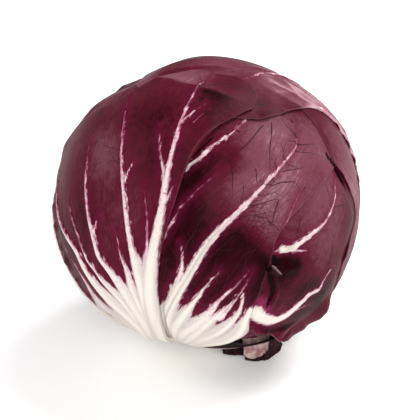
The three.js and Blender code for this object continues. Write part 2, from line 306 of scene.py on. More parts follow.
def nearest_on(path: Array, dirs: Array, closed: bool = False) -> Nearest:
    """Finds the nearest place on a path of unit vectors.

    Args:
        path: The path's points. A closed path ends at its first point.
        dirs: Unit vectors, in any shape.
        closed: Whether the path is closed.

    Returns:
        The nearest place for each vector.
    """
    flat = dirs.reshape(-1, 3)
    lengths = steps_of(path)
    starts = from_start(lengths)
    last = len(path) - 2
    closest = np.concatenate(
        [np.argmax(some @ path[: last + 1 + (not closed)].T, axis=1) for some in batches(flat)]
    )
    best = np.full(len(flat), NOWHERE)
    part, side, offset = (np.zeros(len(flat)) for _ in range(3))
    for shift in (-1, 0):
        n = (closest + shift) % (last + 1) if closed else np.clip(closest + shift, 0, last)
        a, step = path[n], path[n + 1] - path[n]
        t = np.clip(dots(flat - a, step) / dots(step, step), 0, 1)
        off = flat - a - t[:, None] * step
        apart = np.sqrt(dots(off, off))
        level = dots(off, unit(np.cross(a, step)))
        nearer = apart < best - TIE
        nearer |= (apart < best + TIE) & (np.abs(level) > np.abs(offset))
        best = np.where(nearer, apart, best)
        offset = np.where(nearer, level, offset)
        part = np.where(nearer, (starts[n] + t * lengths[n]) / starts[-1], part)
        side = np.where(nearer, np.sign(level), side)
    shape = dirs.shape[:-1]
    away = best * SKIN.waist
    return Nearest(away.reshape(shape), part.reshape(shape), side.reshape(shape))


def batches(rows: Array, size: int = 8192) -> list[Array]:
    """Cuts an array into runs of rows."""
    return [rows[i : i + size] for i in range(0, len(rows), size)]


def dots(first: Array, second: Array) -> Array:
    """Dot products of the rows of two arrays."""
    return np.einsum("ij,ij->i", first, second)


# ---- What a leaf is made of ----


def traced(path: tuple[Place, ...]) -> Array:
    """A path of places as closely spaced unit vectors."""
    at = np.linspace(0, 1, TRACE_STEPS * len(path))
    return unit(curve_through(SKIN.direction(np.array(path)), at))


class RibKind(Enum):
    """How a rib stands and is coloured."""

    WHITE = "a white rib that turns pink and runs out"
    FINE = "a thin pink rib"
    FOLD = "a fold of the blade, with no colour of its own"


@dataclass(frozen=True)
class Rib:
    """A rib of a leaf.

    Attributes:
        path: The places it passes, from the stem outwards.
        half: Half its width at the start and at the end, in mm.
        height: How far it stands out at the start and at the end, in mm.
        pale: How white it is at the start and at the end, 0 for magenta. For a fold, the painted light
            (above 0) or painted shade (below 0) of the blade on its left and on its right.
        kind: How it stands and is coloured.
        taper: 1 narrows evenly, less narrows sooner.
        shaded_groove: How deep the line along its middle is, and how dark its painted shade is.
    """

    path: tuple[Place, ...]
    half: Ends
    height: Ends
    pale: Ends = (1.0, 0.3)
    kind: RibKind = RibKind.WHITE
    taper: float = 1.0
    shaded_groove: float = 0.0

    def trace(self) -> Array:
        """The path as closely spaced unit vectors."""
        return traced(self.path)

    def at(self, ends: Ends, part: Array) -> Array:
        """Blends a pair of end values at parts of the way along the rib."""
        start, end = ends
        return start + (end - start) * part**self.taper

    def twig(self, part: float, lean: float) -> "Rib":
        """A thin rib that leaves this one.

        Args:
            part: How far along, from 0 to 1.
            lean: How far round it reaches, in degrees.

        Returns:
            The thin rib.
        """
        before, mix = divmod(part * (len(self.path) - 1), 1)
        low, high = self.path[int(before)], self.path[int(before) + 1]
        up, around = (a + (b - a) * mix for a, b in zip(low, high))
        path = ((up, around), (up + 6, around + 0.45 * lean), (up + 14, around + lean))
        return fine(path, half=(0.8, 0.1), height=(0.5, 0.1), pale=(0.9, 0.1))


# A thin rib and a fold, given by their path, half widths, heights and paleness; for a fold, the paleness
# is painted light and shade on its two sides.
fine = partial(Rib, kind=RibKind.FINE)
fold = partial(Rib, kind=RibKind.FOLD)


@dataclass(frozen=True)
class Vein:
    """A fine vein on the face of a leaf.

    Attributes:
        path: The places it passes.
        half: Half its width where it starts, in mm.
        pale: 0 for dark wine, 1 for pink.
    """

    path: tuple[Place, ...]
    half: float = 0.24
    pale: float = 0.0


@dataclass(frozen=True)
class Ruffle:
    """A wavy stretch of a margin.

    Attributes:
        start: A place near one end of the stretch.
        end: A place near its other end.
        height: How far the waves stand up and down, in mm.
        wave: Their length, in mm.
        reach: How far in from the margin they go, in mm.
        raise_by: How far the whole stretch stands off, in mm.
    """

    start: Place
    end: Place
    height: float
    wave: float
    reach: float
    raise_by: float = 0.0


@dataclass(frozen=True)
class Slit:
    """A tear or a gap, pressed in, with painted shadow inside.

    Attributes:
        path: The places it passes.
        half: Half its width, in mm.
        depth: In mm.
        lip: How far the blade stands up on its left, in mm, and on its right if below 0.
    """

    path: tuple[Place, ...]
    half: float = 0.7
    depth: float = 1.5
    lip: float = 0.0

    def cut(self, dirs: Array) -> tuple[Array, Array]:
        """Finds how deep the blade is pressed in and how strong the painted shadow in it is.

        Args:
            dirs: Unit vectors.

        Returns:
            The height in mm, below 0 in the slit, and the painted shadow from 0 to 1.
        """
        near = nearest_on(traced(self.path), dirs)
        ends = faded(near.part, 0.2, 0.25)
        half = self.half * (0.25 + 0.75 * ends)
        gap = np.exp(-((near.away / half) ** 2))
        beside = near.away * near.side * np.sign(self.lip)
        lip = np.exp(-(((beside - 2.4 * self.half) / (1.3 * self.half)) ** 2))
        inside = (near.part > 0) & (near.part < 1)
        height = ends * (abs(self.lip) * lip - self.depth * gap) * inside
        return height, np.clip(1.3 * gap, 0, 1) * inside


@dataclass
class Margin:
    """The outline of a leaf.

    Attributes:
        path: A closed path of unit vectors.
    """

    path: Array

    def __post_init__(self) -> None:
        """Finds the middle of the leaf, its reach and the way its outline runs."""
        self.middle = unit(self.path.mean(axis=0))
        self.reach = np.arccos(np.clip((self.path @ self.middle).min(), -1, 1))
        self.length = float((steps_of(self.path) * SKIN.waist).sum())
        turning = np.cross(self.path[:-1], self.path[1:]).sum(axis=0)
        self.turn = float(np.sign(turning @ self.middle))

    def measure(self, dirs: Array) -> tuple[Array, Array]:
        """How far in from the outline and how far round it each vector points, in mm."""
        near = nearest_on(self.path, dirs, closed=True)
        return near.away * near.side * self.turn, near.part * self.length

    def inset_near(self, dirs: Array, slope: float) -> Array:
        """Measures vectors at or near the leaf only.

        Args:
            dirs: Unit vectors.
            slope: How near the leaf they have to be, in mm.

        Returns:
            How far in from the outline they are in mm, and far below 0 for the others.
        """
        flat = dirs.reshape(-1, 3)
        limit = math.cos(min(math.pi, self.reach + slope / SKIN.waist))
        close = flat @ self.middle > limit
        inset = np.full(len(flat), -NOWHERE)
        if close.any():
            inset[close] = self.measure(flat[close])[0]
        return inset.reshape(dirs.shape[:-1])


@dataclass
class Sheet:
    """A leaf's surface on a grid of rows from the stem and columns across.

    Attributes:
        dirs: Unit vectors of the grid.
        along: Distance from the stem along each column, in mm.
        across: Distance across the leaf at its broadest, in mm.
        inset: Distance in from the margin, in mm.
        round_margin: Distance round the margin, in mm.
        outer: Radius of the outer face, in mm.
        inner: Radius of the inner face, in mm.
        marks: Named values for the finish, one for each grid point.
    """

    dirs: Array
    along: Array
    across: Array
    inset: Array
    round_margin: Array
    outer: Array | None = None
    inner: Array | None = None
    marks: dict[str, Array] = field(default_factory=dict)


@dataclass
class Leaf:
    """One leaf, lofted through lines that start at the stem.

    Attributes:
        name: The node that it stands for.
        lines: Lines of places from the stem outwards, all with the same number of points.
        ribs: The ribs on it.
        twigs: Thin ribs that leave one of them: its number, how far along, how far round.
        veins: Fine veins with a known course.
        spacing: How far apart side veins leave each side of a rib, in mm.
        slits: Tears and gaps, with painted shadow inside.
        ruffles: Wavy stretches of its margin.
        swells: Bumps and dents of this leaf alone.
        tone_sheen_shade_spots: Spots of painted sheen (above 0) or painted shade (below 0), over the
            blade's own uneven tone.
        blushes: Spots of bright magenta.
        nets: Spots where the finest veins show.
        pale_rims_and_highlights: Spots where the margin is pale, some of them painted highlights along
            edges that catch the light.
        rim: How pale the margin is elsewhere.
        web: How far up the white flesh between the ribs reaches, in degrees.
        webs: Spots where it reaches further up, in degrees.
        step: Size of the grid, in mm.
        jag: How uneven the margin is, in mm.
        seed: Picks the unevenness.
        closing: How much a rib widens for each degree below the level of the web, in mm.
        blade: Thickness, in mm.
        air: Gap to the leaf above, in mm.
        plateau: How far past a margin the leaf below stays pressed down, in mm.
        slope: Over what width it rises again, in mm.
        margin: The outline, once it is laid out.
        sheet: The surface, once it is laid out.
    """

    name: str
    lines: tuple[tuple[Place, ...], ...]
    ribs: tuple[Rib, ...] = ()
    twigs: tuple[tuple[int, float, float], ...] = ()
    veins: tuple[Vein, ...] = ()
    spacing: float = 7.0
    slits: tuple[Slit, ...] = ()
    ruffles: tuple[Ruffle, ...] = ()
    swells: tuple[Spot, ...] = ()
    tone_sheen_shade_spots: tuple[Spot, ...] = ()
    blushes: tuple[Spot, ...] = ()
    nets: tuple[Spot, ...] = ()
    pale_rims_and_highlights: tuple[Spot, ...] = ()
    rim: float = 0.2
    web: float = 38.0
    webs: tuple[Spot, ...] = ()
    step: float = 0.6
    jag: float = 0.35
    seed: int = 1
    closing: float = 0.45
    blade: float = 0.6
    air: float = 0.35
    plateau: float = 0.8
    slope: float = 9.0
    margin: Margin | None = None
    sheet: Sheet | None = None

    def all_ribs(self) -> tuple[Rib, ...]:
        """The ribs and the thin ones that leave them."""
        return self.ribs + tuple(self.ribs[n].twig(part, lean) for n, part, lean in self.twigs)

    def lay_out(self) -> None:
        """Works out the leaf's grid, its outline and the distances on them."""
        places = np.array(self.lines)
        dirs = np.moveaxis(SKIN.direction(places), 1, 0)
        coarse = curve_through(dirs, np.linspace(0, 1, COARSE_ROWS))
        length = steps_of(coarse).sum(axis=0).max()
        rows = int(math.ceil(length * SKIN.waist / self.step))
        lines = self.roughen(curve_through(dirs, np.linspace(0, 1, rows)))
        last = len(self.lines) - 1
        gaps = steps_of(coarse, axis=1).max(axis=0) * SKIN.waist
        counts = [max(2, math.ceil(gap / self.step)) for gap in gaps]
        stops = [np.arange(n, n + 1, 1 / count) for n, count in enumerate(counts)]
        v = np.concatenate([*stops, [last]]) / last
        grid = unit(np.moveaxis(curve_through(np.moveaxis(lines, 1, 0), v), 1, 0))
        loop = np.concatenate([grid[:, 0], grid[-1, 1:], grid[-2::-1, -1], grid[0, -2::-1]])
        travelled = steps_of(loop).cumsum() * SKIN.waist
        marks = np.searchsorted(travelled, np.arange(0, travelled[-1], OUTLINE_STEP))
        picked = np.unique(np.concatenate([[0], marks + 1]))
        path = np.concatenate([loop[picked[picked < len(loop)]], loop[:1]])
        self.margin = Margin(path)
        inset, round_margin = self.margin.measure(grid)
        along = (steps_of(grid) * SKIN.waist).cumsum(axis=0)
        along = np.concatenate([np.zeros((1, len(v))), along])
        across = np.interp(v * last, np.arange(last + 1), from_start(gaps))
        across = np.broadcast_to(across, grid.shape[:2])
        self.sheet = Sheet(grid, along, across, np.abs(inset), round_margin)

    def roughen(self, lines: Array) -> Array:
        """Makes the two side margins a little uneven.

        Args:
            lines: Unit vectors, by row and line.

        Returns:
            The lines with the first and the last moved.
        """
        moved = lines.copy()
        reach = np.arange(len(lines)) * self.step
        fade = smooth(reach, *JAG_FADE)[:, None] * self.jag / SKIN.waist
        for line, inner, seed in ((0, 1, self.seed), (-1, -2, self.seed + OTHER_SIDE)):
            out = unit(lines[:, line] - lines[:, inner])
            moved[:, line] += out * fade * wander(reach, JAG_WAVE, seed)[:, None]
        return moved

    def cover(self, dirs: Array, reach: float) -> Array:
        """1 where this leaf presses on what is below it, falling to 0 over a reach in mm."""
        inset = self.margin.inset_near(dirs, self.plateau + reach)
        return smooth(inset, -self.plateau - reach, -self.plateau)

    def relief(self, sheet: Sheet) -> Array:
        """Finds how far the ribs stand out, and fills in the marks that colour them, painted shade and
        sheen among them.

        Args:
            sheet: The leaf's grid, whose marks for the ribs, slits and tone are written.

        Returns:
            The height in mm for each grid point.
        """
        shape, dirs, marks = sheet.inset.shape, sheet.dirs, sheet.marks
        inside, pale = self.flesh(dirs)
        web = self.web_at(dirs)
        ridges = [np.zeros(shape), np.zeros(shape)]
        folds, shade, crease_shade, dark, middle = (np.zeros(shape) for _ in range(5))
        for rib in self.all_ribs():
            near = nearest_on(rib.trace(), dirs)
            half = rib.at(rib.half, near.part)
            height = rib.at(rib.height, near.part)
            if rib.kind is RibKind.FOLD:
                ends = faded(near.part, 0.25, 0.25)
                folds += height * np.exp(-near.away / half) * ends
                # Painted light and shade on the two sides of a fold.
                shift = np.where(near.side > 0, *rib.pale) * smooth(near.away, 0, 0.9) * ends
                shade += shift * np.exp(-((near.away / (3 * half)) ** 2))
                continue
            ridge = np.clip(1 - (near.away / (1.15 * half)) ** 2, 0, 1) ** 0.8
            fade = 1 - smooth(near.part, 0.5, 0.8)
            shaded_groove = rib.shaded_groove * np.exp(-((near.away / GROOVE_HALF) ** 2)) * fade
            ridges.append(height * ridge - 0.3 * shaded_groove)
            crease_shade = np.maximum(crease_shade, shaded_groove)
            middle = np.maximum(middle, 1 - near.away / half)
        for slit in self.slits:
            cut, gap = slit.cut(dirs)
            folds += cut
            dark = np.maximum(dark, gap)
        second, first = np.sort(np.stack(ridges), axis=0)[-2:]
        blend = np.logaddexp(CREASE * first, CREASE * second) / CREASE
        # Painted shade, darkening the valleys where two ribs meet, the flesh between the ribs, the
        # grooves along rib middles and the rounded sides of white ribs.
        valley = np.exp(-(((first - second) / 0.4) ** 2)) * smooth(second, 0.2, 0.8)
        apart = smooth(inside, 0.3, -1.6)
        between = apart * (1.1 - 0.75 * smooth(web, 4, 22)) * smooth(web, 0, 3)
        marks["rib"] = inside + self.closing * web
        marks["pale"] = pale * (1 - apart) + apart * np.minimum(1, 0.45 + 0.07 * web)
        sides = 0.4 * (1 - smooth(middle, 0.05, 0.75)) * smooth(pale, 0.7, 1.1)
        crease_shade = np.maximum(crease_shade, np.maximum(0.45 * valley, 0.75 * between))
        marks["crease_shade"] = np.maximum(crease_shade, sides * (1 - 0.5 * smooth(web, 8, 24)))
        # Painted shadow inside the slits and gaps.
        marks["slit"] = dark
        # The blade's own uneven tone, with painted sheen above 0 and painted shade below 0, and painted
        # light and shade beside folds.
        marks["tone_sheen_shade"] = spots(self.tone_sheen_shade_spots, dirs) + shade
        soft = smooth(second, 0.0, 0.6)
        low = 0.3 + 0.7 * (1 - smooth(web, self.web - 40, self.web - 16))
        return low * (first + 0.8 * soft * (blend - first) - 0.12 * valley) + folds

    def flesh(self, dirs: Array) -> tuple[Array, Array]:
        """Finds the white flesh of the ribs.

        Args:
            dirs: Unit vectors.

        Returns:
            How far inside a rib each of them points, in mm, and how white the rib is.
        """
        inside = np.full(dirs.shape[:-1], OFF_RIB)
        pale = np.zeros(dirs.shape[:-1])
        for rib in self.all_ribs():
            if rib.kind is RibKind.FOLD:
                continue
            near = nearest_on(rib.trace(), dirs)
            within = rib.at(rib.half, near.part) - near.away
            white = rib.pale[0] + (rib.pale[1] - rib.pale[0]) * near.part
            pale = np.where(within > inside, white, pale)
            inside = np.maximum(inside, within)
        return inside, pale

    def web_at(self, dirs: Array) -> Array:
        """Finds how far below the level where the ribs begin to merge each vector points.

        Args:
            dirs: Unit vectors.

        Returns:
            The distance in degrees, falling softly to 0 above the level.
        """
        up = np.degrees(np.arccos(np.clip(-dirs @ SKIN.axes()[0], -1, 1)))
        level = self.web + spots(self.webs, dirs)
        return 3 * np.logaddexp(0, (level - up) / 3)

    def lift(self, sheet: Sheet) -> Array:
        """Finds how far the blade stands off what is below it along its wavy margins.

        Args:
            sheet: The leaf's grid.

        Returns:
            The distance in mm for each grid point.
        """
        total = np.zeros(sheet.inset.shape)
        for ruffle in self.ruffles:
            ends = SKIN.direction(np.array([ruffle.start, ruffle.end]))
            first, second = self.margin.measure(ends)[1]
            low, high = min(first, second), max(first, second)
            where = sheet.round_margin
            fade = min(6.0, (high - low) / 3)
            window = smooth(where, low - fade, low + fade)
            window *= 1 - smooth(where, high - fade, high + fade)
            near = (1 - smooth(sheet.inset, 0, ruffle.reach)) * window
            waves = 1.3 * wander(where, 1.8 * ruffle.wave, self.seed + 7, 1.3)
            total += near * (ruffle.raise_by + ruffle.height * waves)
        return total

    def shape(self, above: tuple["Leaf", ...]) -> None:
        """Works out both faces of the blade.

        Args:
            above: The leaves that lie over this one, all laid out.
        """
        sheet, dirs, marks = self.sheet, self.sheet.dirs, self.sheet.marks
        pressed = np.zeros(sheet.inset.shape)
        free = np.ones(sheet.inset.shape)
        for leaf in above:
            pressed += leaf.cover(dirs, leaf.slope) * (leaf.blade + leaf.air)
            free = np.minimum(free, 1 - leaf.cover(dirs, EMERGE))
        own = spots(self.swells, dirs)
        rise = free * (own + self.relief(sheet) + self.lift(sheet))
        marks["edge"] = sheet.inset
        marks["blush"] = spots(self.blushes, dirs)
        marks["net"] = spots(self.nets, dirs)
        marks["rim"] = np.clip(self.rim + spots(self.pale_rims_and_highlights, dirs), 0, 1)
        floor = SKIN.floor(dirs)
        bed = SKIN.radius(dirs) - pressed
        flat_rise = free * (own + self.lift(sheet))
        sheet.outer = np.minimum(bed + rise, floor)
        sheet.inner = np.minimum(bed + flat_rise, floor) - self.blade

    def build(self, material: Material) -> Piece:
        """Makes the leaf's mesh, a closed blade.

        Args:
            material: The finish of the leaf.

        Returns:
            The object, in place of the node of the same name.
        """
        sheet = self.sheet
        outer = SKIN.points(sheet.dirs, sheet.outer)
        inner = SKIN.points(sheet.dirs, sheet.inner)
        marks = {name: np.stack([m, m]) for name, m in sheet.marks.items()}
        uv = np.stack([sheet.across, sheet.along], axis=-1) / LEAF_PATTERN
        piece = blade_object(self.name + "_blade", outer, inner, marks, np.stack([uv, uv]))
        piece.data.materials.append(material)
        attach(piece, BODY)
        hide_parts(self.name)
        return piece


@dataclass
class Cord:
    """The course of one vein.

    Attributes:
        dirs: Unit vectors along it.
        half: Half its width at each of them, in mm.
        pale: 0 for dark wine, 1 for pink.
    """

    dirs: Array
    half: Array
    pale: float


@dataclass
class VeinNet:
    """The fine veins of a leaf: those with a known course and those that branch off its ribs.

    Attributes:
        leaf: The leaf, already built.
        above: The leaves over it.
        step: How far a growing vein goes at a time, in mm.
        reach: Length of the side veins, shortest and longest, in mm.
        angle: Degrees between a side vein and its rib, least and most.
        wobble: How far a vein strays, in mm.
        thick: Half width of a side vein where it starts, in mm.
        where: The stretch of a rib that side veins leave, as shares of its length.
        stray: How far a side vein may start from its even place, in mm.
        bend: How fast it turns back to the rib, least and most, in degrees a mm.
        sway: How far it turns at random at each step, in degrees.
        forks: Steps from its start, from its end and between two branches.
        bare: Share of the branches that are left out.
        fork_angle: Degrees between a branch and its vein, least and most.
        fork_reach: Length of a branch, shortest and longest, in mm.
        fork_thick: Its width as a share of the thickest side vein's.
    """

    leaf: Leaf
    above: tuple[Leaf, ...]
    step: float = 1.0
    reach: Ends = (7.0, 19.0)
    angle: Ends = (28.0, 52.0)
    wobble: float = 0.35
    thick: float = 0.13
    where: Ends = (0.38, 0.97)
    stray: float = 1.5
    bend: Ends = (0.3, 1.9)
    sway: float = 5.0
    forks: tuple[int, int, int] = (4, 3, 5)
    bare: float = 0.35
    fork_angle: Ends = (30.0, 60.0)
    fork_reach: Ends = (3.0, 8.0)
    fork_thick: float = 0.55

    def open_at(self, dirs: Array) -> Array:
        """Finds where the bare blade of the leaf shows.

        Args:
            dirs: Unit vectors.

        Returns:
            True where the blade is there, without a rib and with nothing over it.
        """
        leaf = self.leaf
        free = leaf.margin.inset_near(dirs, 1.0) > 0.7
        free &= leaf.flesh(dirs)[0] + leaf.closing * leaf.web_at(dirs) < -0.1
        for over in self.above:
            free &= over.margin.inset_near(dirs, 1.0) < -0.6
        return free

    def grow(self, start: Array, heading: Array, length: float, bend: float, seed: int) -> Array:
        """Walks over the skin from a place.

        Args:
            start: Unit vector where the vein starts.
            heading: Which way it sets off.
            length: In mm.
            bend: How fast it turns to the left, in degrees a mm.
            seed: Picks its small turns.

        Returns:
            Unit vectors along it.
        """
        rng = np.random.default_rng(seed)
        here, way = start, heading
        steps = [here]
        for _ in range(int(length / self.step)):
            turn = bend * self.step + rng.normal(0, self.sway)
            way = turned(here, unit(way - here * (way @ here)), turn)
            here = unit(here + way * self.step / SKIN.waist)
            steps.append(here)
        return np.array(steps)

    def side_veins(self) -> list[Cord]:
        """Grows veins off the ribs, left and right in turn, each with a few branches.

        Returns:
            Their courses.
        """
        rng = np.random.default_rng(self.leaf.seed)
        first, last, every = self.forks
        cords = []
        for rib in self.leaf.all_ribs():
            if rib.kind is not RibKind.WHITE:
                continue
            trace = rib.trace()
            far = from_start(steps_of(trace) * SKIN.waist)
            low, high = (share * far[-1] for share in self.where)
            side = 1
            for at in np.arange(low, high, self.leaf.spacing / 2):
                side = -side
                n = int(np.searchsorted(far, at + rng.uniform(-self.stray, self.stray)))
                n = min(max(n, 1), len(trace) - 2)
                ahead = unit(trace[n + 1] - trace[n - 1])
                way = turned(trace[n], ahead, side * rng.uniform(*self.angle))
                length = rng.uniform(*self.reach)
                bend = -side * rng.uniform(*self.bend)
                cord = self.grow(trace[n], way, length, bend, int(rng.integers(1e6)))
                cords.append(self.tapered(cord, self.thick * rng.uniform(0.6, 1.1)))
                for fork in np.arange(first, len(cord) - last, every):
                    if rng.uniform() < self.bare:
                        continue
                    ahead = unit(cord[fork + 1] - cord[fork - 1])
                    turn = rng.choice([-1, 1]) * rng.uniform(*self.fork_angle)
                    way = turned(cord[fork], ahead, turn)
                    length = rng.uniform(*self.fork_reach)
                    twig = self.grow(cord[fork], way, length, 0.0, int(rng.integers(1e6)))
                    cords.append(self.tapered(twig, self.thick * self.fork_thick))
        return cords

    def tapered(self, dirs: Array, half: float, pale: float = 0.0) -> Cord:
        """A course that runs out to a point."""
        left = 1 - np.linspace(0, 1, len(dirs)) ** 1.5
        return Cord(dirs, half * (0.1 + 0.9 * left), pale)

    def cords(self) -> list[Cord]:
        """Gathers all the veins, cut where the leaf ends or is covered.

        Returns:
            Their courses.
        """
        known = [self.tapered(traced(v.path), 0.66 * v.half, v.pale) for v in self.leaf.veins]
        every = known + self.side_veins()
        whole = []
        stops = np.cumsum([len(cord.dirs) for cord in every])
        frees = np.split(self.open_at(np.concatenate([cord.dirs for cord in every])), stops[:-1])
        for cord, free in zip(every, frees):
            start = int(np.argmax(free))
            shut = np.flatnonzero(~free[start:])
            end = start + int(shut[0]) if len(shut) else len(free)
            if end - start > 3:
                whole.append(Cord(cord.dirs[start:end], cord.half[start:end], cord.pale))
        return whole

    def build(self, blade: Piece, material: Material) -> Piece:
        """Makes the veins as low round cords that follow the leaf.

        Args:
            blade: The leaf's object.
            material: The finish of the veins.

        Returns:
            The object.
        """
        cords = self.cords()
        name = self.leaf.name + "_veins"
        points = np.concatenate([SKIN.points(c.dirs, SKIN.radius(c.dirs) + ABOVE) for c in cords])
        starts = np.cumsum([0] + [len(c.dirs) for c in cords])
        runs = zip(starts[:-1], starts[1:])
        pairs = [np.stack([np.arange(a, b - 1), np.arange(a + 1, b)], -1) for a, b in runs]
        mesh = bpy.data.meshes.new(name)
        mesh.from_pydata((points * MM).tolist(), np.concatenate(pairs).tolist(), [])
        add_mark(mesh, "half", np.concatenate([c.half for c in cords]) * MM)
        add_mark(mesh, "pale", np.concatenate([np.full(len(c.dirs), c.pale) for c in cords]))
        values = {"Leaf": blade, "Wobble": self.wobble * MM, "Seed": self.leaf.seed}
        guide = linked(name + "_guide", mesh)
        piece = grown(guide, VeinTree().build(), {**values, "Material": material}, name)
        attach(piece, BODY)
        LOG.info("%s: %d veins", name, len(cords))
        return piece


def turned(here: Array, way: Array, angle: float) -> Array:
    """A heading on the skin, turned to the left by an angle in degrees."""
    turn = math.radians(angle)
    return way * math.cos(turn) + np.cross(here, way) * math.sin(turn)


def add_mark(mesh: bpy.types.Mesh, name: str, values: Array) -> None:
    """Writes a named value to each point of a mesh."""
    layer = mesh.attributes.new(name, "FLOAT", "POINT")
    layer.data.foreach_set("value", values.astype(np.float32).ravel())


def linked(name: str, data: bpy.types.ID) -> Piece:
    """Makes an object and links it to the scene.

    Args:
        name: Its name.
        data: Its mesh, light or camera.

    Returns:
        The object.
    """
    made = bpy.data.objects.new(name, data)
    bpy.context.scene.collection.objects.link(made)
    return made


class Board:
    """A node tree that is being made."""

    def __init__(self, tree: bpy.types.NodeTree) -> None:
        """Keeps the tree."""
        self.tree = tree

    def add(self, kind: str, inputs: Values = None, settings: Values = None) -> bpy.types.Node:
        """Adds a node.

        Args:
            kind: The node's type.
            inputs: Values, wires, sockets or nodes by the input's name or place. A node stands
                for its first output.
            settings: Its settings, which are set first.

        Returns:
            The node.
        """
        node = self.tree.nodes.new(kind)
        for key, value in (settings or {}).items():
            setattr(node, key, value)
        for key, value in (inputs or {}).items():
            if isinstance(value, Wire):
                value = value.socket
            if isinstance(value, bpy.types.Node):
                value = value.outputs[0]
            if isinstance(value, Socket):
                self.tree.links.new(value, node.inputs[key])
            elif isinstance(value, tuple) and node.inputs[key].type == "RGBA":
                node.inputs[key].default_value = (*value, 1.0)
            else:
                node.inputs[key].default_value = value
        return node


@dataclass(frozen=True)
class VeinTree:
    """A Geometry Nodes tree that turns a net of edges into cords lying on a leaf.

    Attributes:
        step: Length between two rings of a cord, in metres.
        patch: Size of the wobble, in metres.
        sides: Sides of a cord.
    """

    step: float = 0.0008
    patch: float = 0.006
    sides: int = 6

    def build(self) -> bpy.types.NodeTree:
        """Makes the tree.

        Returns:
            The tree, with named inputs.
        """
        tree = bpy.data.node_groups.new("vein_cords", "GeometryNodeTree")
        for name, kind, value in (
            ("Geometry", "Geometry", None),
            ("Leaf", "Object", None),
            ("Step", "Float", self.step),
            ("Wobble", "Float", 0.0),
            ("Patch", "Float", self.patch),
            ("Seed", "Float", 1.0),
            ("Sides", "Int", self.sides),
            ("Material", "Material", None),
        ):
            socket = tree.interface.new_socket(name, in_out="INPUT", socket_type="NodeSocket" + kind)
            if value is not None:
                socket.default_value = value
        tree.interface.new_socket("Geometry", in_out="OUTPUT", socket_type="NodeSocketGeometry")
        add = Board(tree).add
        given = add("NodeGroupInput").outputs
        course = add("GeometryNodeMeshToCurve", {0: given["Geometry"]})
        even = {"Curve": course, "Length": given["Step"]}
        even = add("GeometryNodeResampleCurve", even, {"mode": "LENGTH"})
        fineness = add("ShaderNodeMath", {0: 1.0, 1: given["Patch"]}, {"operation": "DIVIDE"})
        noise = {"W": given["Seed"], "Scale": fineness, "Detail": 2.0}
        noise = add("ShaderNodeTexNoise", noise, {"noise_dimensions": "4D"}).outputs["Color"]
        centred = {0: noise, 1: (0.5, 0.5, 0.5)}
        centred = add("ShaderNodeVectorMath", centred, {"operation": "SUBTRACT"})
        width = add("ShaderNodeMath", {0: given["Wobble"], 1: 4.0}, {"operation": "MULTIPLY"})
        stray = {0: centred, "Scale": width}
        stray = add("ShaderNodeVectorMath", stray, {"operation": "SCALE"})
        strayed = add("GeometryNodeSetPosition", {"Geometry": even, "Offset": stray})
        leaf = add("GeometryNodeObjectInfo", {"Object": given["Leaf"]}).outputs["Geometry"]
        nearest = add("GeometryNodeProximity", {0: leaf}, {"target_element": "FACES"})
        laid = {"Geometry": strayed, "Position": nearest.outputs["Position"]}
        laid = add("GeometryNodeSetPosition", laid)
        half = add("GeometryNodeInputNamedAttribute", {"Name": "half"}, {"data_type": "FLOAT"})
        ring = {"Resolution": given["Sides"], "Radius": 1.0}
        ring = add("GeometryNodeCurvePrimitiveCircle", ring)
        cords = {"Curve": laid, "Profile Curve": ring, "Scale": half, "Fill Caps": True}
        soft = add("GeometryNodeSetShadeSmooth", {0: add("GeometryNodeCurveToMesh", cords)})
        real = add("GeometryNodeRealizeInstances", {0: soft})
        dressed = {"Geometry": real, "Material": given["Material"]}
        add("NodeGroupOutput", {"Geometry": add("GeometryNodeSetMaterial", dressed)})
        return tree


def grown(
    guide: Piece, tree: bpy.types.NodeTree, values: dict[str, object], name: str
) -> Piece:
    """Runs a Geometry Nodes tree on an object and keeps the result as a plain mesh.

    Args:
        guide: The object, which is removed.
        tree: The tree.
        values: The tree's inputs by name.
        name: Name of the new object.

    Returns:
        The new object, linked to the scene.
    """
    modifier = guide.modifiers.new("grow", "NODES")
    modifier.node_group = tree
    for item in tree.interface.items_tree:
        if item.in_out == "INPUT" and item.name in values:
            modifier[item.identifier] = values[item.name]
    graph = bpy.context.evaluated_depsgraph_get()
    mesh = bpy.data.meshes.new_from_object(guide.evaluated_get(graph))
    mesh.name = name
    bpy.data.objects.remove(guide)
    return linked(name, mesh)


def resampled(values: Array, size: tuple[int, int]) -> Array:
    """Samples a grid along smooth curves.

    Args:
        values: Values or points, by row and column.
        size: The new numbers of rows and columns.

    Returns:
        The new grid.
    """
    rows = curve_through(values, np.linspace(0, 1, size[0]))
    columns = curve_through(np.moveaxis(rows, 1, 0), np.linspace(0, 1, size[1]))
    return np.moveaxis(columns, 0, 1)


def loft(
    name: str, points: Array, size: tuple[int, int], thick: float, marks: dict, bumps: float
) -> Piece:
    """Makes a small blade through given points.

    Args:
        name: Its name.
        points: The points in mm, by row and column, with the columns running to the right of
            the rows as seen from outside.
        size: Rows and columns of the finished grid.
        thick: Thickness, in mm.
        marks: Values for the finish, by row and column of the given points.
        bumps: How far the blade is crumpled, in mm.

    Returns:
        The object.
    """
    grid = resampled(points, size)
    normal = unit(np.cross(np.gradient(grid, axis=1), np.gradient(grid, axis=0)))
    lumps = wander(grid[..., 0] + 0.7 * grid[..., 1], 9, 5, 1.0)
    lumps = lumps + wander(grid[..., 2] * 1.3 - grid[..., 0], 7, 9, 1.0)
    middle = grid + normal * (bumps * lumps / 2)[..., None]
    middle[..., 2] = np.maximum(middle[..., 2], thick)
    across, along = np.meshgrid(np.arange(size[1]), np.arange(size[0]))
    uv = np.stack([across, along], axis=-1) * LOFT_PATTERN
    values = {key: resampled(np.asarray(value, float), size) for key, value in marks.items()}
    values = {key: np.stack([value, value]) for key, value in values.items()}
    half = normal * thick / 2
    return blade_object(name, middle + half, middle - half, values, np.stack([uv, uv]))


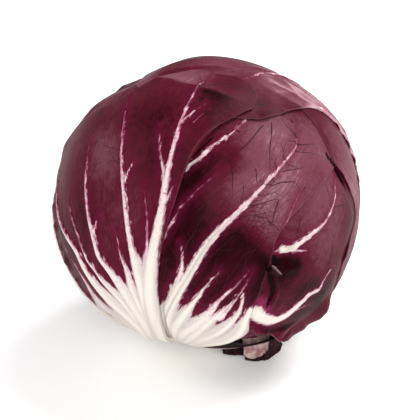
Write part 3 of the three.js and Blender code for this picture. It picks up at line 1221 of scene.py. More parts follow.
@dataclass(frozen=True)
class Curl:
    """A torn tongue of a leaf, rolled up on itself.

    Attributes:
        name: Its name.
        node: The node whose finish it has. It is not used.
        start: One end of the roll.
        end: Its other end.
        radius: Of the roll at both ends, in mm.
        turn: How far it is rolled, in degrees.
        thick: Thickness, in mm.
        sunk: How deep its ends start in the skin, in mm.
        tighter: How much tighter it is inside, as a share of the radius.
        bumps: How far it is crumpled, in mm.
        rim: How pale it is.
        tone_sheen_shade: How dark it is, below 0.
    """

    name: str
    node: str
    start: Place
    end: Place
    radius: Ends
    turn: float = 280.0
    thick: float = 0.45
    sunk: float = 0.6
    tighter: float = 0.35
    bumps: float = 0.5
    rim: float = 0.75
    tone_sheen_shade: float = -1.1

    def build(self, material: Material) -> Piece:
        """Makes the roll.

        Args:
            material: Its finish.

        Returns:
            The object.
        """
        dirs = SKIN.direction(np.array([self.start, self.end]))
        first, last = SKIN.points(dirs, SKIN.radius(dirs) - self.sunk)
        up = unit(dirs.mean(axis=0))
        side = unit(np.cross(last - first, up))
        angles = np.radians(np.linspace(0, self.turn, 12))
        parts = np.linspace(0, 1, 5)
        rows = []
        for angle in angles:
            tight = 1 - self.tighter * angle / angles[-1]
            ring = up * (1 - tight * math.cos(angle)) + side * tight * math.sin(angle)
            radii = np.interp(parts, (0, 1), self.radius)
            rows.append([first + (last - first) * p + ring * r for p, r in zip(parts, radii)])
        shape = (len(angles), len(parts))
        marks = {
            "edge": np.abs(angles - angles[-1])[:, None] * np.ones(len(parts)) * 2,
            "rim": np.full(shape, self.rim),
            "rib": np.full(shape, NO_RIB),
            "tone_sheen_shade": np.full(shape, self.tone_sheen_shade),
        }
        piece = loft(self.name, np.array(rows), (48, 28), self.thick, marks, self.bumps)
        piece.data.materials.append(material)
        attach(piece, BODY)
        return piece


@dataclass(frozen=True)
class TornLeaf:
    """The stump of an old leaf, dried almost black, with a pale fleshy inside.

    Attributes:
        thick: Thickness, in mm.
        bumps: How far it is crumpled, in mm.
        scoop: Points of the part that curls towards the front, in mm, by row, each from the
            stem to its free edge.
        tints: How pale the scoop is at each of its points.
        flap: Points of the part that lies under the head, in mm.
    """

    thick: float = 0.9
    bumps: float = 1.1
    scoop: tuple[tuple[Point, ...], ...] = (
        ((13, -18.5, 11), (14.2, -22, 5), (14.4, -24, 2), (14.8, -26, 1)),
        ((16.5, -18.5, 12), (17.6, -22.5, 5.6), (18.2, -24.8, 2.2), (19.3, -26.8, 1)),
        ((20, -18.5, 13), (21.2, -21.5, 6.4), (22.8, -23.4, 3.2), (24.2, -25.6, 1.2)),
        ((22.8, -18, 14.5), (24.2, -19.5, 9), (26.4, -20.8, 5.8), (28.2, -21.6, 2.4)),
        ((24.4, -18, 16), (26, -19.5, 12), (28, -20.4, 8.6), (29.8, -20.6, 5)),
    )
    tints: tuple[tuple[float, ...], ...] = (
        (1.1, 1, 0.5, -0.2),
        (1.1, 1.2, 1, 0.1),
        (1.1, 1.1, 0.6, -0.4),
        (1.1, 0.6, -0.3, -0.6),
        (1, 0, -0.5, -0.6),
    )
    flap: tuple[tuple[Point, ...], ...] = (
        ((4.5, -15, 4), (5.5, -19, 2.6), (6, -21.6, 1.2)),
        ((9, -15, 4.6), (10, -19, 3), (10.5, -22.4, 1)),
        ((13, -15, 5.4), (14, -19, 3.6), (14.5, -22.6, 1)),
        ((16, -15, 7), (17, -19.5, 5), (17.8, -23, 1.8)),
    )

    def build(self, material: Material) -> list[Piece]:
        """Makes both parts.

        Args:
            material: Their finish.

        Returns:
            The objects, in place of the node.
        """
        pieces = []
        for name, points, tint in (
            ("torn_scoop", self.scoop, self.tints),
            ("torn_flap", self.flap, ((-0.2, -0.3, -0.4),) * 4),
        ):
            grid = np.moveaxis(np.array(points), 1, 0)[::-1]
            marks = {"pale": np.array(tint).T[::-1]}
            piece = loft(name, grid, (50, 70), self.thick, marks, self.bumps)
            piece.data.materials.append(material)
            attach(piece, BODY)
            pieces.append(piece)
        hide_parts("leaf_torn")
        return pieces


def blade_object(name: str, outer: Array, inner: Array, marks: dict[str, Array], uv: Array) -> Piece:
    """Joins two grids of points into one closed blade.

    Args:
        name: Name of the object.
        outer: Points of the outer face, in mm, by row and column.
        inner: Points of the inner face, in mm.
        marks: Named values, by face, row and column.
        uv: Pattern coordinates, by face, row and column.

    Returns:
        The object, linked to the scene.
    """
    rows, columns = outer.shape[:2]
    ids = np.arange(2 * rows * columns).reshape(2, rows, columns)
    top, low = ids
    faces = [
        np.stack([top[:-1, :-1], top[:-1, 1:], top[1:, 1:], top[1:, :-1]], -1),
        np.stack([low[:-1, :-1], low[1:, :-1], low[1:, 1:], low[:-1, 1:]], -1),
    ]
    loop = np.concatenate([np.s_[top[0, :]], top[1:, -1], top[-1, -2::-1], top[-2::-1, 0]])
    under = loop + rows * columns
    rim = np.stack([loop[:-1], under[:-1], under[1:], loop[1:]], -1)
    quads = np.concatenate([f.reshape(-1, 4) for f in faces] + [rim])
    points = np.concatenate([outer.reshape(-1, 3), inner.reshape(-1, 3)]) * MM
    mesh = bpy.data.meshes.new(name)
    mesh.vertices.add(len(points))
    mesh.vertices.foreach_set("co", points.astype(np.float32).ravel())
    mesh.loops.add(quads.size)
    mesh.loops.foreach_set("vertex_index", quads.astype(np.int32).ravel())
    mesh.polygons.add(len(quads))
    mesh.polygons.foreach_set("loop_start", np.arange(0, quads.size, 4, dtype=np.int32))
    mesh.update(calc_edges=True)
    for mark, values in marks.items():
        add_mark(mesh, mark, values)
    pattern = mesh.uv_layers.new(name="leaf")
    flat = uv.reshape(-1, 2)[quads.ravel()]
    pattern.data.foreach_set("uv", flat.astype(np.float32).ravel())
    mesh.validate()
    mesh.shade_smooth()
    mesh.set_sharp_from_angle(angle=math.radians(SHARP))
    return linked(name, mesh)


# ---- Shader arithmetic ----


class Wire:
    """A number that varies over a surface, for use in Python expressions."""

    def __init__(self, nodes: "NodeBoard", socket: Socket) -> None:
        """Wraps a socket of a board."""
        self.nodes = nodes
        self.socket = socket

    def math(self, operation: str, *values: "Wire | float") -> "Wire":
        """Adds a Math node with its inputs in order."""
        made = self.nodes.add("ShaderNodeMath", dict(enumerate(values)), {"operation": operation})
        return Wire(self.nodes, made.outputs[0])

    def __add__(self, other: "Wire | float") -> "Wire":
        """self + other."""
        return self.math("ADD", self, other)

    __radd__ = __add__

    def __sub__(self, other: "Wire | float") -> "Wire":
        """self - other."""
        return self.math("SUBTRACT", self, other)

    def __rsub__(self, other: "Wire | float") -> "Wire":
        """other - self."""
        return self.math("SUBTRACT", other, self)

    def __mul__(self, other: "Wire | float") -> "Wire":
        """self * other."""
        return self.math("MULTIPLY", self, other)

    __rmul__ = __mul__

    def high(self, other: "Wire | float") -> "Wire":
        """The larger of two values."""
        return self.math("MAXIMUM", self, other)

    def low(self, other: "Wire | float") -> "Wire":
        """The smaller of two values."""
        return self.math("MINIMUM", self, other)

    def smooth(self, start: float, end: float) -> "Wire":
        """Rises smoothly from 0 to 1.

        Args:
            start: The value at which it is 0.
            end: The value at which it is 1.

        Returns:
            The result.
        """
        span = {"Value": self, "From Min": start, "From Max": end}
        settings = {"interpolation_type": "SMOOTHSTEP", "clamp": True}
        made = self.nodes.add("ShaderNodeMapRange", span, settings)
        return Wire(self.nodes, made.outputs["Result"])


class NodeBoard(Board):
    """The node tree of one material."""

    def __init__(self, name: str) -> None:
        """Makes an empty material.

        Args:
            name: Its name.
        """
        self.material = bpy.data.materials.new(name)
        self.material.use_nodes = True
        super().__init__(self.material.node_tree)
        self.tree.nodes.clear()

    def mark(self, name: str) -> Wire:
        """A named value of the piece."""
        node = self.add("ShaderNodeAttribute", settings={"attribute_name": name})
        return Wire(self, node.outputs["Fac"])

    def place(self) -> Socket:
        """Object coordinates, in metres."""
        return self.add("ShaderNodeTexCoord").outputs["Object"]

    def stretched(self, source: Socket, scale: Point) -> Socket:
        """Scales coordinates by axis."""
        return self.add("ShaderNodeMapping", {"Vector": source, "Scale": scale}).outputs[0]

    def noise(self, source: Socket, scale: float, detail: float = 2, roughness: float = 0.5) -> Wire:
        """Noise from about 0.2 to 0.8 round 0.5."""
        inputs = {"Vector": source, "Scale": scale, "Detail": detail, "Roughness": roughness}
        return Wire(self, self.add("ShaderNodeTexNoise", inputs).outputs[0])

    def cells(self, source: Socket, scale: float, feature: str = "F1") -> Wire:
        """Makes a pattern of cells.

        Args:
            source: Coordinates.
            scale: Fineness.
            feature: What the distance is measured from, a cell's point or its edge.

        Returns:
            The distance.
        """
        inputs = {"Vector": source, "Scale": scale}
        node = self.add("ShaderNodeTexVoronoi", inputs, {"feature": feature})
        return Wire(self, node.outputs["Distance"])

    def swirled(self, source: Socket, scale: float, amount: float) -> Socket:
        """Shifts coordinates by noise.

        Args:
            source: The coordinates.
            scale: Fineness of the noise.
            amount: How far they are shifted.

        Returns:
            The shifted coordinates.
        """
        noise = self.add("ShaderNodeTexNoise", {"Vector": source, "Scale": scale})
        inputs = {0: noise.outputs["Color"], 1: (amount,) * 3, 2: source}
        return self.add("ShaderNodeVectorMath", inputs, {"operation": "MULTIPLY_ADD"}).outputs[0]

    def mix(self, amount: Wire, first: Socket | Colour, second: Socket | Colour) -> Socket:
        """Mixes two colours: the first where the amount is 0, the second where it is 1."""
        inputs = {0: amount, 6: first, 7: second}
        return self.add("ShaderNodeMix", inputs, {"data_type": "RGBA"}).outputs[2]

    def finish(
        self, colour: Socket, roughness: Wire, bump: Wire, bump_height: float, **constants: float
    ) -> Material:
        """Joins everything to the surface shader.

        Args:
            colour: Base colour.
            roughness: Roughness.
            bump: Fine relief, from 0 to 1.
            bump_height: Height of the relief in metres.
            **constants: Values of the shader's other sockets, with _ for a space.

        Returns:
            The material.
        """
        relief = {"Height": bump, "Distance": bump_height, "Strength": 1.0}
        inputs = {name.replace("_", " "): value for name, value in constants.items()}
        inputs |= {"Base Color": colour, "Roughness": roughness}
        inputs["Normal"] = self.add("ShaderNodeBump", relief)
        shader = self.add("ShaderNodeBsdfPrincipled", inputs)
        self.add("ShaderNodeOutputMaterial", {"Surface": shader})
        return self.material


def srgb(red: int, green: int, blue: int) -> Colour:
    """Turns a screen colour, 0 to 255, into linear light."""
    parts = [c / 255 for c in (red, green, blue)]
    return tuple(p / 12.92 if p <= 0.04045 else ((p + 0.055) / 1.055) ** 2.4 for p in parts)


@dataclass(frozen=True)
class LeafFinish:
    """A waxy leaf: a wine-red blade, white fleshy ribs and a pale margin, with painted sheen, highlight
    and shade.

    Attributes:
        name: The material's name.
        deep: The blade where it is darkest.
        wine: The blade between.
        painted_sheen: The blade where a painted mauve sheen stands in for the soft reflection of the
            lamps.
        painted_highlight: The blade where it is palest, a painted highlight.
        glow: The blade next to a rib.
        blush: Bright spots.
        pink: Ribs where they run out.
        rose: Ribs halfway.
        ivory: Ribs near the stem.
        rim: The cut edge and the thin margin, pale of their own, and painted highlights along edges.
        painted_gap_shadow: The painted shadow inside a tear or a gap.
        shaded_groove: Painted shade in the creases along and between the ribs.
        fibres: Faint lines along a rib.
        speck: Tiny dark dots on the ribs.
        vein: The finest veins.
        gloss: Roughness of the blade.
    """

    name: str
    deep: Colour = srgb(28, 0, 4)
    wine: Colour = srgb(78, 17, 33)
    painted_sheen: Colour = srgb(110, 60, 73)
    painted_highlight: Colour = srgb(176, 130, 141)
    glow: Colour = srgb(94, 12, 46)
    blush: Colour = srgb(150, 46, 92)
    pink: Colour = srgb(186, 104, 136)
    rose: Colour = srgb(214, 194, 198)
    ivory: Colour = srgb(216, 210, 200)
    rim: Colour = srgb(210, 166, 178)
    painted_gap_shadow: Colour = srgb(14, 2, 7)
    shaded_groove: Colour = srgb(158, 142, 144)
    fibres: Colour = srgb(196, 190, 172)
    speck: Colour = srgb(120, 62, 80)
    vein: Colour = srgb(46, 4, 22)
    gloss: float = 0.42

    def make(self) -> Material:
        """Builds the material.

        Returns:
            The material.
        """
        n = NodeBoard(self.name)
        place = n.place()
        pattern = n.add("ShaderNodeUVMap", settings={"uv_map": "leaf"}).outputs[0]
        rib, pale = n.mark("rib"), n.mark("pale")
        tone_sheen_shade, edge, blush = n.mark("tone_sheen_shade"), n.mark("edge"), n.mark("blush")

        streak = n.noise(n.stretched(pattern, (100, 14, 1)), 1.0, 3, 0.6)
        spur = n.noise(n.stretched(pattern, (120, 26, 1)), 1.0, 3, 0.6)
        cloud = n.noise(place, 38, 3, 0.55)
        mottle = n.noise(place, 420, 4, 0.65)
        grain = n.noise(place, 2600, 2, 0.5)
        fibre = n.noise(n.stretched(pattern, (260, 9, 1)), 1.0, 2, 0.5)

        tint = n.noise(place, 26, 2)
        # Above 0 the blade turns to painted sheen and then painted highlight, below 0 to the darkest wine
        # as painted shade; the noises add its own uneven tone.
        shade = tone_sheen_shade + (cloud - 0.5) * 1.4 + (streak - 0.5) * 0.5 + (mottle - 0.5) * 0.8
        shade = shade + (fibre - 0.5) * 0.35
        blade = n.mix(shade.smooth(-0.7, 0.2), self.deep, self.wine)
        # Painted mauve sheen.
        blade = n.mix(shade.smooth(0.1, 1.0), blade, self.painted_sheen)
        # Painted pale highlight.
        blade = n.mix((shade + (streak - 0.5) * 0.6).smooth(1.0, 2.0), blade, self.painted_highlight)
        blade = n.mix((tint + (streak - 0.5) * 0.4).smooth(0.5, 0.75) * 0.15, blade, self.glow)

        spike = (spur - 0.5).high(0.0) * (5 * pale + 1).low(6.0)
        feather = rib + spike + (mottle - 0.5) * 0.9 - 0.3
        cells = n.cells(n.swirled(place, 90, 0.004), 560.0, "DISTANCE_TO_EDGE")
        lines = cells.smooth(0.1, 0.01)
        blade = n.mix(lines * (n.mark("net") + 0.12).low(0.7), blade, self.vein)
        halo = (feather + (streak - 0.5) * 2).smooth(-3.5, 0.2)
        blade = n.mix(halo * 0.5, blade, self.glow)
        soft = blush + (streak - 0.5) * 0.9 + (spur - 0.5) * 0.5
        blade = n.mix(soft.smooth(0.1, 1.0), blade, self.blush)
        rim = n.mark("rim")
        fringe = (edge + (spur - 0.5) * 3).smooth(3.4, 0.4) * (rim - 0.3).high(0.0)
        thin = (edge + (cloud - 0.5) * 0.5).smooth(0.5, 0.15)
        blade = n.mix((thin * rim).high(fringe), blade, self.rim)

        white = (pale + (fibre - 0.5) * 0.5 + (mottle - 0.5) * 1.1).smooth(0.0, 0.65)
        flesh = n.mix(white, self.pink, self.rose)
        flesh = n.mix((pale + (fibre - 0.5) * 0.6).smooth(0.5, 1.05), flesh, self.ivory)
        verge = (feather + (mottle - 0.5)).smooth(0.9, -0.1)
        flesh = n.mix(verge * 0.7, flesh, self.pink)
        flesh = n.mix((fibre - 0.5).smooth(0.0, 0.3) * 0.22, flesh, self.fibres)
        # Painted shade in creases, along rib middles and sides, and between the ribs.
        flesh = n.mix(n.mark("crease_shade") * (0.55 + 0.5 * fibre), flesh, self.shaded_groove)
        dots = n.noise(place, 1000, 2).smooth(0.62, 0.68) * pale.smooth(1.0, 0.7)
        flesh = n.mix(dots * 0.6, flesh, self.speck)
        broken = (pale + (mottle - 0.5) * 2.4 + 0.5).smooth(0.05, 0.4)
        colour = n.mix(feather.smooth(-0.25, 0.35) * broken, blade, flesh)
        # Painted shadow inside slits and gaps.
        colour = n.mix(n.mark("slit").smooth(0.25, 0.75), colour, self.painted_gap_shadow)

        roughness = self.gloss + (mottle - 0.5) * 0.25 + (grain - 0.5) * 0.12
        relief = 0.55 * mottle + 0.25 * grain + 0.3 * fibre
        return n.finish(colour, roughness, relief, 0.00012, IOR=1.45, Specular_IOR_Level=0.04)


@dataclass(frozen=True)
class VeinFinish:
    """Fine veins.

    Attributes:
        dark: Dark wine, where the mark "pale" is low.
        pink: Pink, where it is high.
    """

    dark: Colour = srgb(56, 8, 28)
    pink: Colour = srgb(178, 92, 124)

    def make(self) -> Material:
        """Builds the material.

        Returns:
            The material.
        """
        n = NodeBoard("vein")
        speck = n.noise(n.place(), 900, 2)
        amount = (n.mark("pale") + (speck - 0.5) * 0.5).smooth(0.1, 0.9)
        colour = n.mix(amount, self.dark, self.pink)
        return n.finish(colour, 0.45 + 0.1 * speck, speck, 0.00002, Specular_IOR_Level=0.15)


@dataclass(frozen=True)
class DriedFinish:
    """A dried leaf, with a pale fleshy inside where the mark "pale" is high.

    Attributes:
        black: The outside.
        brown: Its patches.
        pink: The inside.
        cream: Its patches.
    """

    black: Colour = srgb(34, 12, 14)
    brown: Colour = srgb(70, 26, 34)
    pink: Colour = srgb(176, 128, 128)
    cream: Colour = srgb(226, 206, 194)

    def make(self) -> Material:
        """Builds the material.

        Returns:
            The material.
        """
        n = NodeBoard("dried")
        place = n.place()
        patch, grain = n.noise(place, 160, 3, 0.6), n.noise(place, 900, 3, 0.6)
        skin = n.mix((patch + (grain - 0.5) * 0.8).smooth(0.4, 0.8), self.black, self.brown)
        inside = n.mix((patch + (grain - 0.5) * 0.6).smooth(0.35, 0.65), self.pink, self.cream)
        amount = (n.mark("pale") + (patch - 0.5) * 1.1 + (grain - 0.5) * 0.4).smooth(0.35, 0.6)
        colour, roughness = n.mix(amount, skin, inside), 0.55 + 0.2 * grain
        relief = 0.5 * grain + 0.5 * patch
        return n.finish(colour, roughness, relief, 0.0006, Specular_IOR_Level=0.2)


@dataclass(frozen=True)
class HeartFinish:
    """The tightly packed inner leaves.

    Attributes:
        wine: Their colour.
        pale: Their streaks.
    """

    wine: Colour = srgb(74, 10, 32)
    pale: Colour = srgb(196, 130, 152)

    def make(self) -> Material:
        """Builds the material.

        Returns:
            The material.
        """
        n = NodeBoard("heart")
        place = n.place()
        streak = n.noise(n.swirled(place, 40, 0.02), 70, 3, 0.6)
        grain = n.noise(place, 900, 2)
        colour = n.mix(streak.smooth(0.6, 0.75) * 0.6, self.wine, self.pale)
        return n.finish(colour, 0.5 + 0.1 * grain, grain, 0.0001, Specular_IOR_Level=0.1)


@dataclass(frozen=True)
class StemFinish:
    """The cut stem.

    Attributes:
        ivory: Its flesh.
        tan: Clouds where the cut has dried.
        dots: Small dots in it.
    """

    ivory: Colour = srgb(232, 220, 194)
    tan: Colour = srgb(168, 128, 88)
    dots: Colour = srgb(112, 78, 54)

    def make(self) -> Material:
        """Builds the material.

        Returns:
            The material.
        """
        n = NodeBoard("stem")
        place = n.place()
        cloud, grain = n.noise(place, 130, 3, 0.6), n.noise(place, 700, 2)
        colour = n.mix((cloud + (grain - 0.5) * 0.4).smooth(0.4, 0.7), self.ivory, self.tan)
        spots = n.cells(place, 600.0).smooth(0.3, 0.15) * 0.6
        colour, roughness = n.mix(spots, colour, self.dots), 0.7 + 0.15 * grain
        relief = 0.5 * grain + 0.5 * cloud
        return n.finish(colour, roughness, relief, 0.0003, Specular_IOR_Level=0.15)


@dataclass(frozen=True)
class FloorFinish:
    """A plain pale floor.

    Attributes:
        colour: Its colour.
        speckled: Its colour in the specks.
        shine: How bright it is by itself, to stay pale at its far end.
    """

    colour: Colour = (0.97, 0.97, 0.97)
    speckled: Colour = (0.95, 0.95, 0.95)
    shine: float = 0.12

    def make(self) -> Material:
        """Builds the material.

        Returns:
            The material.
        """
        n = NodeBoard("floor")
        speck = n.noise(n.place(), 60, 2)
        colour, roughness = n.mix(speck * 0.02, self.colour, self.speckled), 0.75 + 0.1 * speck
        shine = {"Specular_IOR_Level": 0.1, "Emission_Strength": self.shine}
        return n.finish(colour, roughness, speck, 0.00001, **shine)


# ---- The leaves, from the outermost inwards ----

FRONT_LEFT = Leaf(
    name="leaf_front_left", seed=3, spacing=10, step=0.6,
    lines=(
        ((11, -70), (27, -74), (41, -77), (56, -79), (73, -83), (88, -87), (104, -85)),
        ((11, -52), (27, -38), (42, -51), (58, -62.5), (72, -73), (88, -80), (107, -80)),
        ((11, -44), (28, -31), (43, -34), (59, -45), (76, -52), (98, -57), (117, -60)),
        ((11, -36), (28, -25.5), (46, -26), (62, -29.5), (80, -34.5), (103, -43), (126.5, -48)),
        ((11, -30), (30, -22), (49, -23), (68, -25), (90, -28), (112, -32), (137, -34)),
        ((11, -24), (31, -22.5), (51, -23.5), (71, -22.5), (91, -21.3), (112, -21.8), (139, -17)),
        ((11, -20), (31, -20.5), (51, -21.2), (71, -20.6), (92, -18.6), (114, -14), (138.5, -4)),
        ((11, -18), (31, -18.8), (49, -19.6), (68, -19.2), (92, -16.8), (112, -8), (131, 5.5)),
        ((11, -16), (31, -17.4), (46, -18.4), (64, -18.5), (84, -16.4), (105, -12.6), (122.5, 4)),
    ),
    ribs=(
        Rib((
            (12, -24), (27, -21.5), (42, -22.4), (56, -22), (75.9, -20.5), (86.3, -20.8), (99.4, -21.3),
            (111.4, -21.7), (124.3, -21.3), (134.2, -19.3),
        ), (4.9, 0.1), (3, 0.3), (1.5, 0.2), taper=0.62),
        Rib((
            (12, -31), (30, -24.5), (42, -25), (54.7, -27), (67, -30.5), (79.9, -34.5), (94.1, -39.5),
            (103, -42.8), (110.6, -46.3), (122.7, -54.5),
        ), (3.4, 0.1), (2.6, 0.2), (1.4, 0.15), taper=0.62),
        Rib((
            (12, -38), (28, -30), (42, -33.5), (52.8, -39.5), (59.2, -45.4), (64.7, -47.2), (74.2, -50.7),
            (84.6, -54.3), (92.7, -56.2), (99.8, -58.1),
        ), (3.6, 0.15), (2.6, 0.2), (1.3, 0.2), taper=0.75),
        Rib((
            (12, -46), (26, -37), (35, -43), (42, -49.9), (52.7, -56.8), (59.8, -60.4), (64.7, -67),
            (69.1, -72.3), (75, -76.5), (84, -80),
        ), (3.3, 0.3), (2.6, 0.3), (1.3, 0.4), taper=0.95),
        Rib((
            (32, -34.5), (40.8, -38.6), (46.1, -43.7), (49.8, -47.4), (53.4, -49.9), (56.8, -53.6),
            (60.3, -54.9), (66.4, -58.1), (71.7, -61.2), (77.4, -64.2), (82, -63.7),
        ), (1.9, 0.12), (1.6, 0.15), (1.2, 0.2), taper=0.7),
        Rib((
            (36, -26.5), (44, -29.6), (50.3, -31.4), (56.1, -32.6), (61.2, -34.7), (72, -37.6),
        ), (1.7, 0.1), (1.4, 0.1), (1.2, 0.4), taper=0.8),
        fine((
            (86, -21), (92.7, -23.1), (98.6, -25.8), (107.5, -29.3),
        ), (0.9, 0.15), (0.5, 0.1), (0.9, 0.2)),
        fine((
            (106, -21.8), (110.2, -21.3), (115, -18.4), (120, -14.7),
        ), (0.8, 0.12), (0.4, 0.1), (0.7, 0.1)),
        fine(((80, -20.5), (83.5, -19.2), (87.5, -18.2)), (1.1, 0.15), (0.6, 0.1), (0.9, 0.4)),
        fine(((66, -47.5), (70, -46.6), (73.4, -44.8)), (0.9, 0.1), (0.5, 0.1), (0.9, 0.3)),
        fine(((86, -36), (91, -35), (94.4, -33.2)), (0.6, 0.1), (0.4, 0.1), (0.8, 0.3)),
        fine((
            (33, -66), (41, -66), (47, -64.5), (53, -66.4), (58, -70.5), (62, -76),
        ), (0.7, 0.15), (0.5, 0.1), (0.6, 0.3)),
        fine(((62, -23.5), (70, -24.2), (78, -25.8), (86, -28.7)), (0.8, 0.1), (0.4, 0.1), (0.5, 0.1)),
        fold((
            (122.7, -54.5), (127.7, -50.1), (129.7, -40.3), (127.6, -28), (126.9, -19.7), (125.4, -9.8),
            (124.1, -0.9), (122.6, 2.7),
        ), (4, 4), (1, 0.8), (0.75, -0.15)),
    ),
    swells=(
        Spot((22, -40), 9, 1.8), Spot((98, -87), 4.5, 0.9), Spot((134, -35), 7, -0.8),
        Spot((134, -15), 7, -0.9), Spot((112, -12), 5, 0.5),
    ),
    veins=(
        Vein(((115.6, -66.1), (109.3, -62.5), (101.8, -57.7))),
        Vein(((111.6, -51.7), (105.8, -53.1), (101.1, -53.7), (98.5, -55))),
        Vein(((133.4, -18.8), (128.9, -19), (125.8, -19.7), (122.9, -20)), 0.3),
        Vein(((119.5, -6.5), (116.9, -8))), Vein(((83.3, -43.6), (76.9, -39.6))),
        Vein(((98, -34), (93, -32.2), (89.6, -30.8))), Vein(((110.6, -17.3), (115.5, -14.4)), 0.22, 0.6),
        Vein(((130.1, -9.5), (133.3, -4.8), (133.1, -1.3))),
    ),
    ruffles=(
        Ruffle((36, -77), (76, -84), 0.5, 4, 4, raise_by=0.4),
        Ruffle((88, -15.3), (108, -9), 0.2, 9, 5, raise_by=1.3),
        Ruffle((30, -69), (88, -87), 0.5, 11, 5, raise_by=0.3), Ruffle((131, -51), (131, 5), 0.25, 14, 4),
    ),
    web=46, webs=(Spot((61, -24.5), 8, 17), Spot((51, -35), 8, 4)), rim=0.03,
    pale_rims_and_highlights=(Spot((92, -86), 15, 0.9),),
    # Spots of painted sheen (above 0) and painted shade (below 0).
    tone_sheen_shade_spots=(
        Spot((134, -30), 12, 0.4), Spot((130, -12), 8, -0.7), Spot((58, -76), 14, -0.35),
        Spot((106, -62), 10, -0.3), Spot((106, -30), 34, 0.15), Spot((92, -48), 11, 0.55),
        Spot((78, -30), 9, 0.35), Spot((100, -68), 12, 0.4), Spot((112, -36), 10, -0.35),
        Spot((116, -12), 9, -0.3), Spot((96, -24), 8, -0.25), Spot((70, -55), 9, -0.3),
    ),
)

CROWN = Leaf(
    name="leaf_crown", seed=11, step=0.82,
    lines=(
        ((11, 122), (34, 118), (60, 106), (86, 88), (110, 73), (133, 49), (119, 8), (116, -18)),
        ((11, 138), (35, 134), (61, 125), (87, 113), (112, 96), (140, 66), (138, 12), (122, -44)),
        ((11, 152), (36, 151), (62, 144), (88, 135), (115, 122), (145, 95), (156, 35), (130, -64)),
        ((11, 166), (36, 168), (62, 164), (88, 157), (115, 150), (146, 140), (172, 80), (140, -86)),
        ((11, 182), (35, 186), (60, 184), (86, 179), (113, 176), (142, 184), (166, -140), (140, -112)),
    ),
    ribs=(
        Rib((
            (12, 152), (36, 151), (62, 144), (88, 135), (115, 122), (138, 105), (152, 60),
        ), (4, 0.2), (2.4, 0.2), (1.1, 0.2)),
        Rib((
            (12, 138), (35, 134), (61, 125), (87, 113), (110, 98), (128, 72), (134.4, 48.6),
        ), (3, 0.35), (1.9, 0.2), (1.1, 0.35)),
        Rib((
            (12, 166), (36, 168), (62, 164), (88, 157), (115, 150), (140, 142), (158, 120),
        ), (3, 0.2), (1.9, 0.2), (1.1, 0.2)),
        fine((
            (152, 60), (152, 32), (151.8, 14), (149.4, -4.3), (146, -18),
        ), (0.5, 0.15), (0.3, 0.1), (0.35, 0)),
        fine((
            (153, 40), (150, 21), (146, 9.8), (142.7, 5), (139, -3), (138, -18),
        ), (0.8, 0.12), (0.3, 0.1), (0.9, 0.1)),
        fold((
            (135.6, -35.9), (138.3, -22.4), (138.6, -12.9), (139.6, -3.5), (136, 4),
        ), (2, 2), (0.3, 0.3), (0.35, -0.3)),
        fold((
            (139.6, 1.5), (145.1, 13.5), (145.9, 27.5), (138.8, 30.6), (132, 30),
        ), (2.4, 2.4), (0.35, 0.3), (0.3, -0.35)),
        fold((
            (149.4, -4.3), (151.8, 14), (152.2, 32.1), (147, 42), (139, 52),
        ), (2.2, 2.2), (0.35, 0.3), (0.4, -0.25)),
        fold((
            (131, -52), (137, -44), (142, -32), (145, -18), (146, -6),
        ), (1.8, 1.8), (0.3, 0.3), (0.15, -0.4)),
        fold(((138, -56), (145, -48), (150, -34), (153, -16)), (1.6, 1.6), (0.3, 0.3), (-0.3, 0.15)),
        fold((
            (142.6, 10.1), (138.6, 23.7), (134.6, 37), (131.4, 50), (127.5, 61),
        ), (0.8, 0.8), (0.3, 0.3), (0.8, -0.35)),
        fold(((147, 24), (143, 37), (138, 48), (132, 58)), (0.7, 0.7), (0.3, 0.3), (-0.4, 0.8)),
        fold(((139, 6), (134, 17), (130.5, 29), (128.5, 40)), (0.9, 0.9), (0.3, 0.3), (0.45, -0.35)),
        fold(((144.8, 46.4), (140, 36), (135.8, 22.9), (130, 12)), (2, 2), (0.25, 0.25), (-0.25, 0.3)),
        fine((
            (139.6, -34), (144.9, -30.1), (150, -20), (151.1, -14.8), (150, -2),
        ), (0.35, 0.12), (0.2, 0.1), (0.3, 0)),
        fine(((134.4, 48.6), (132.5, 42), (131.1, 36.4)), (0.9, 0.4), (0.3, 0.2), (1, 0.8)),
    ),
    twigs=((0, 0.42, 7), (0, 0.56, -8), (1, 0.4, -7), (2, 0.5, 8), (2, 0.66, -9)),
    swells=(Spot((148, -72), 9, -0.8), Spot((133, -64), 7, -0.7)),
    ruffles=(
        Ruffle((110, 72), (130, 58), 0.6, 4.6, 4.5, raise_by=0.12),
        Ruffle((130, 30), (119, 6), 0.5, 8, 5, raise_by=0.4),
    ),
    # Spots of painted sheen (above 0) and painted shade (below 0).
    tone_sheen_shade_spots=(
        Spot((145, 0), 22, 0.7), Spot((141, 46), 15, 1.2), Spot((134, 54), 9, 1), Spot((125, 66), 9, 1.3),
        Spot((143, 15), 5, 1), Spot((135, 26), 8, 0.4), Spot((140, -3), 7, -0.4),
        Spot((127, -54), 9, 0.9), Spot((134, 27), 5, 0.2), Spot((120, 9), 4, -0.3),
        Spot((127, 8), 5, -0.6), Spot((128, 25), 6, -0.3), Spot((125, 25), 8, 0.1),
        Spot((100, 120), 24, 0.4),
    ),
    # The rim spot at (131.5, 42) is a painted highlight along the edge of the crown leaf.
    rim=0.05, blade=0.45, air=0.15, pale_rims_and_highlights=(Spot((124, 64), 13, 1.3), Spot((131.5, 42), 6, 1.1)),
)

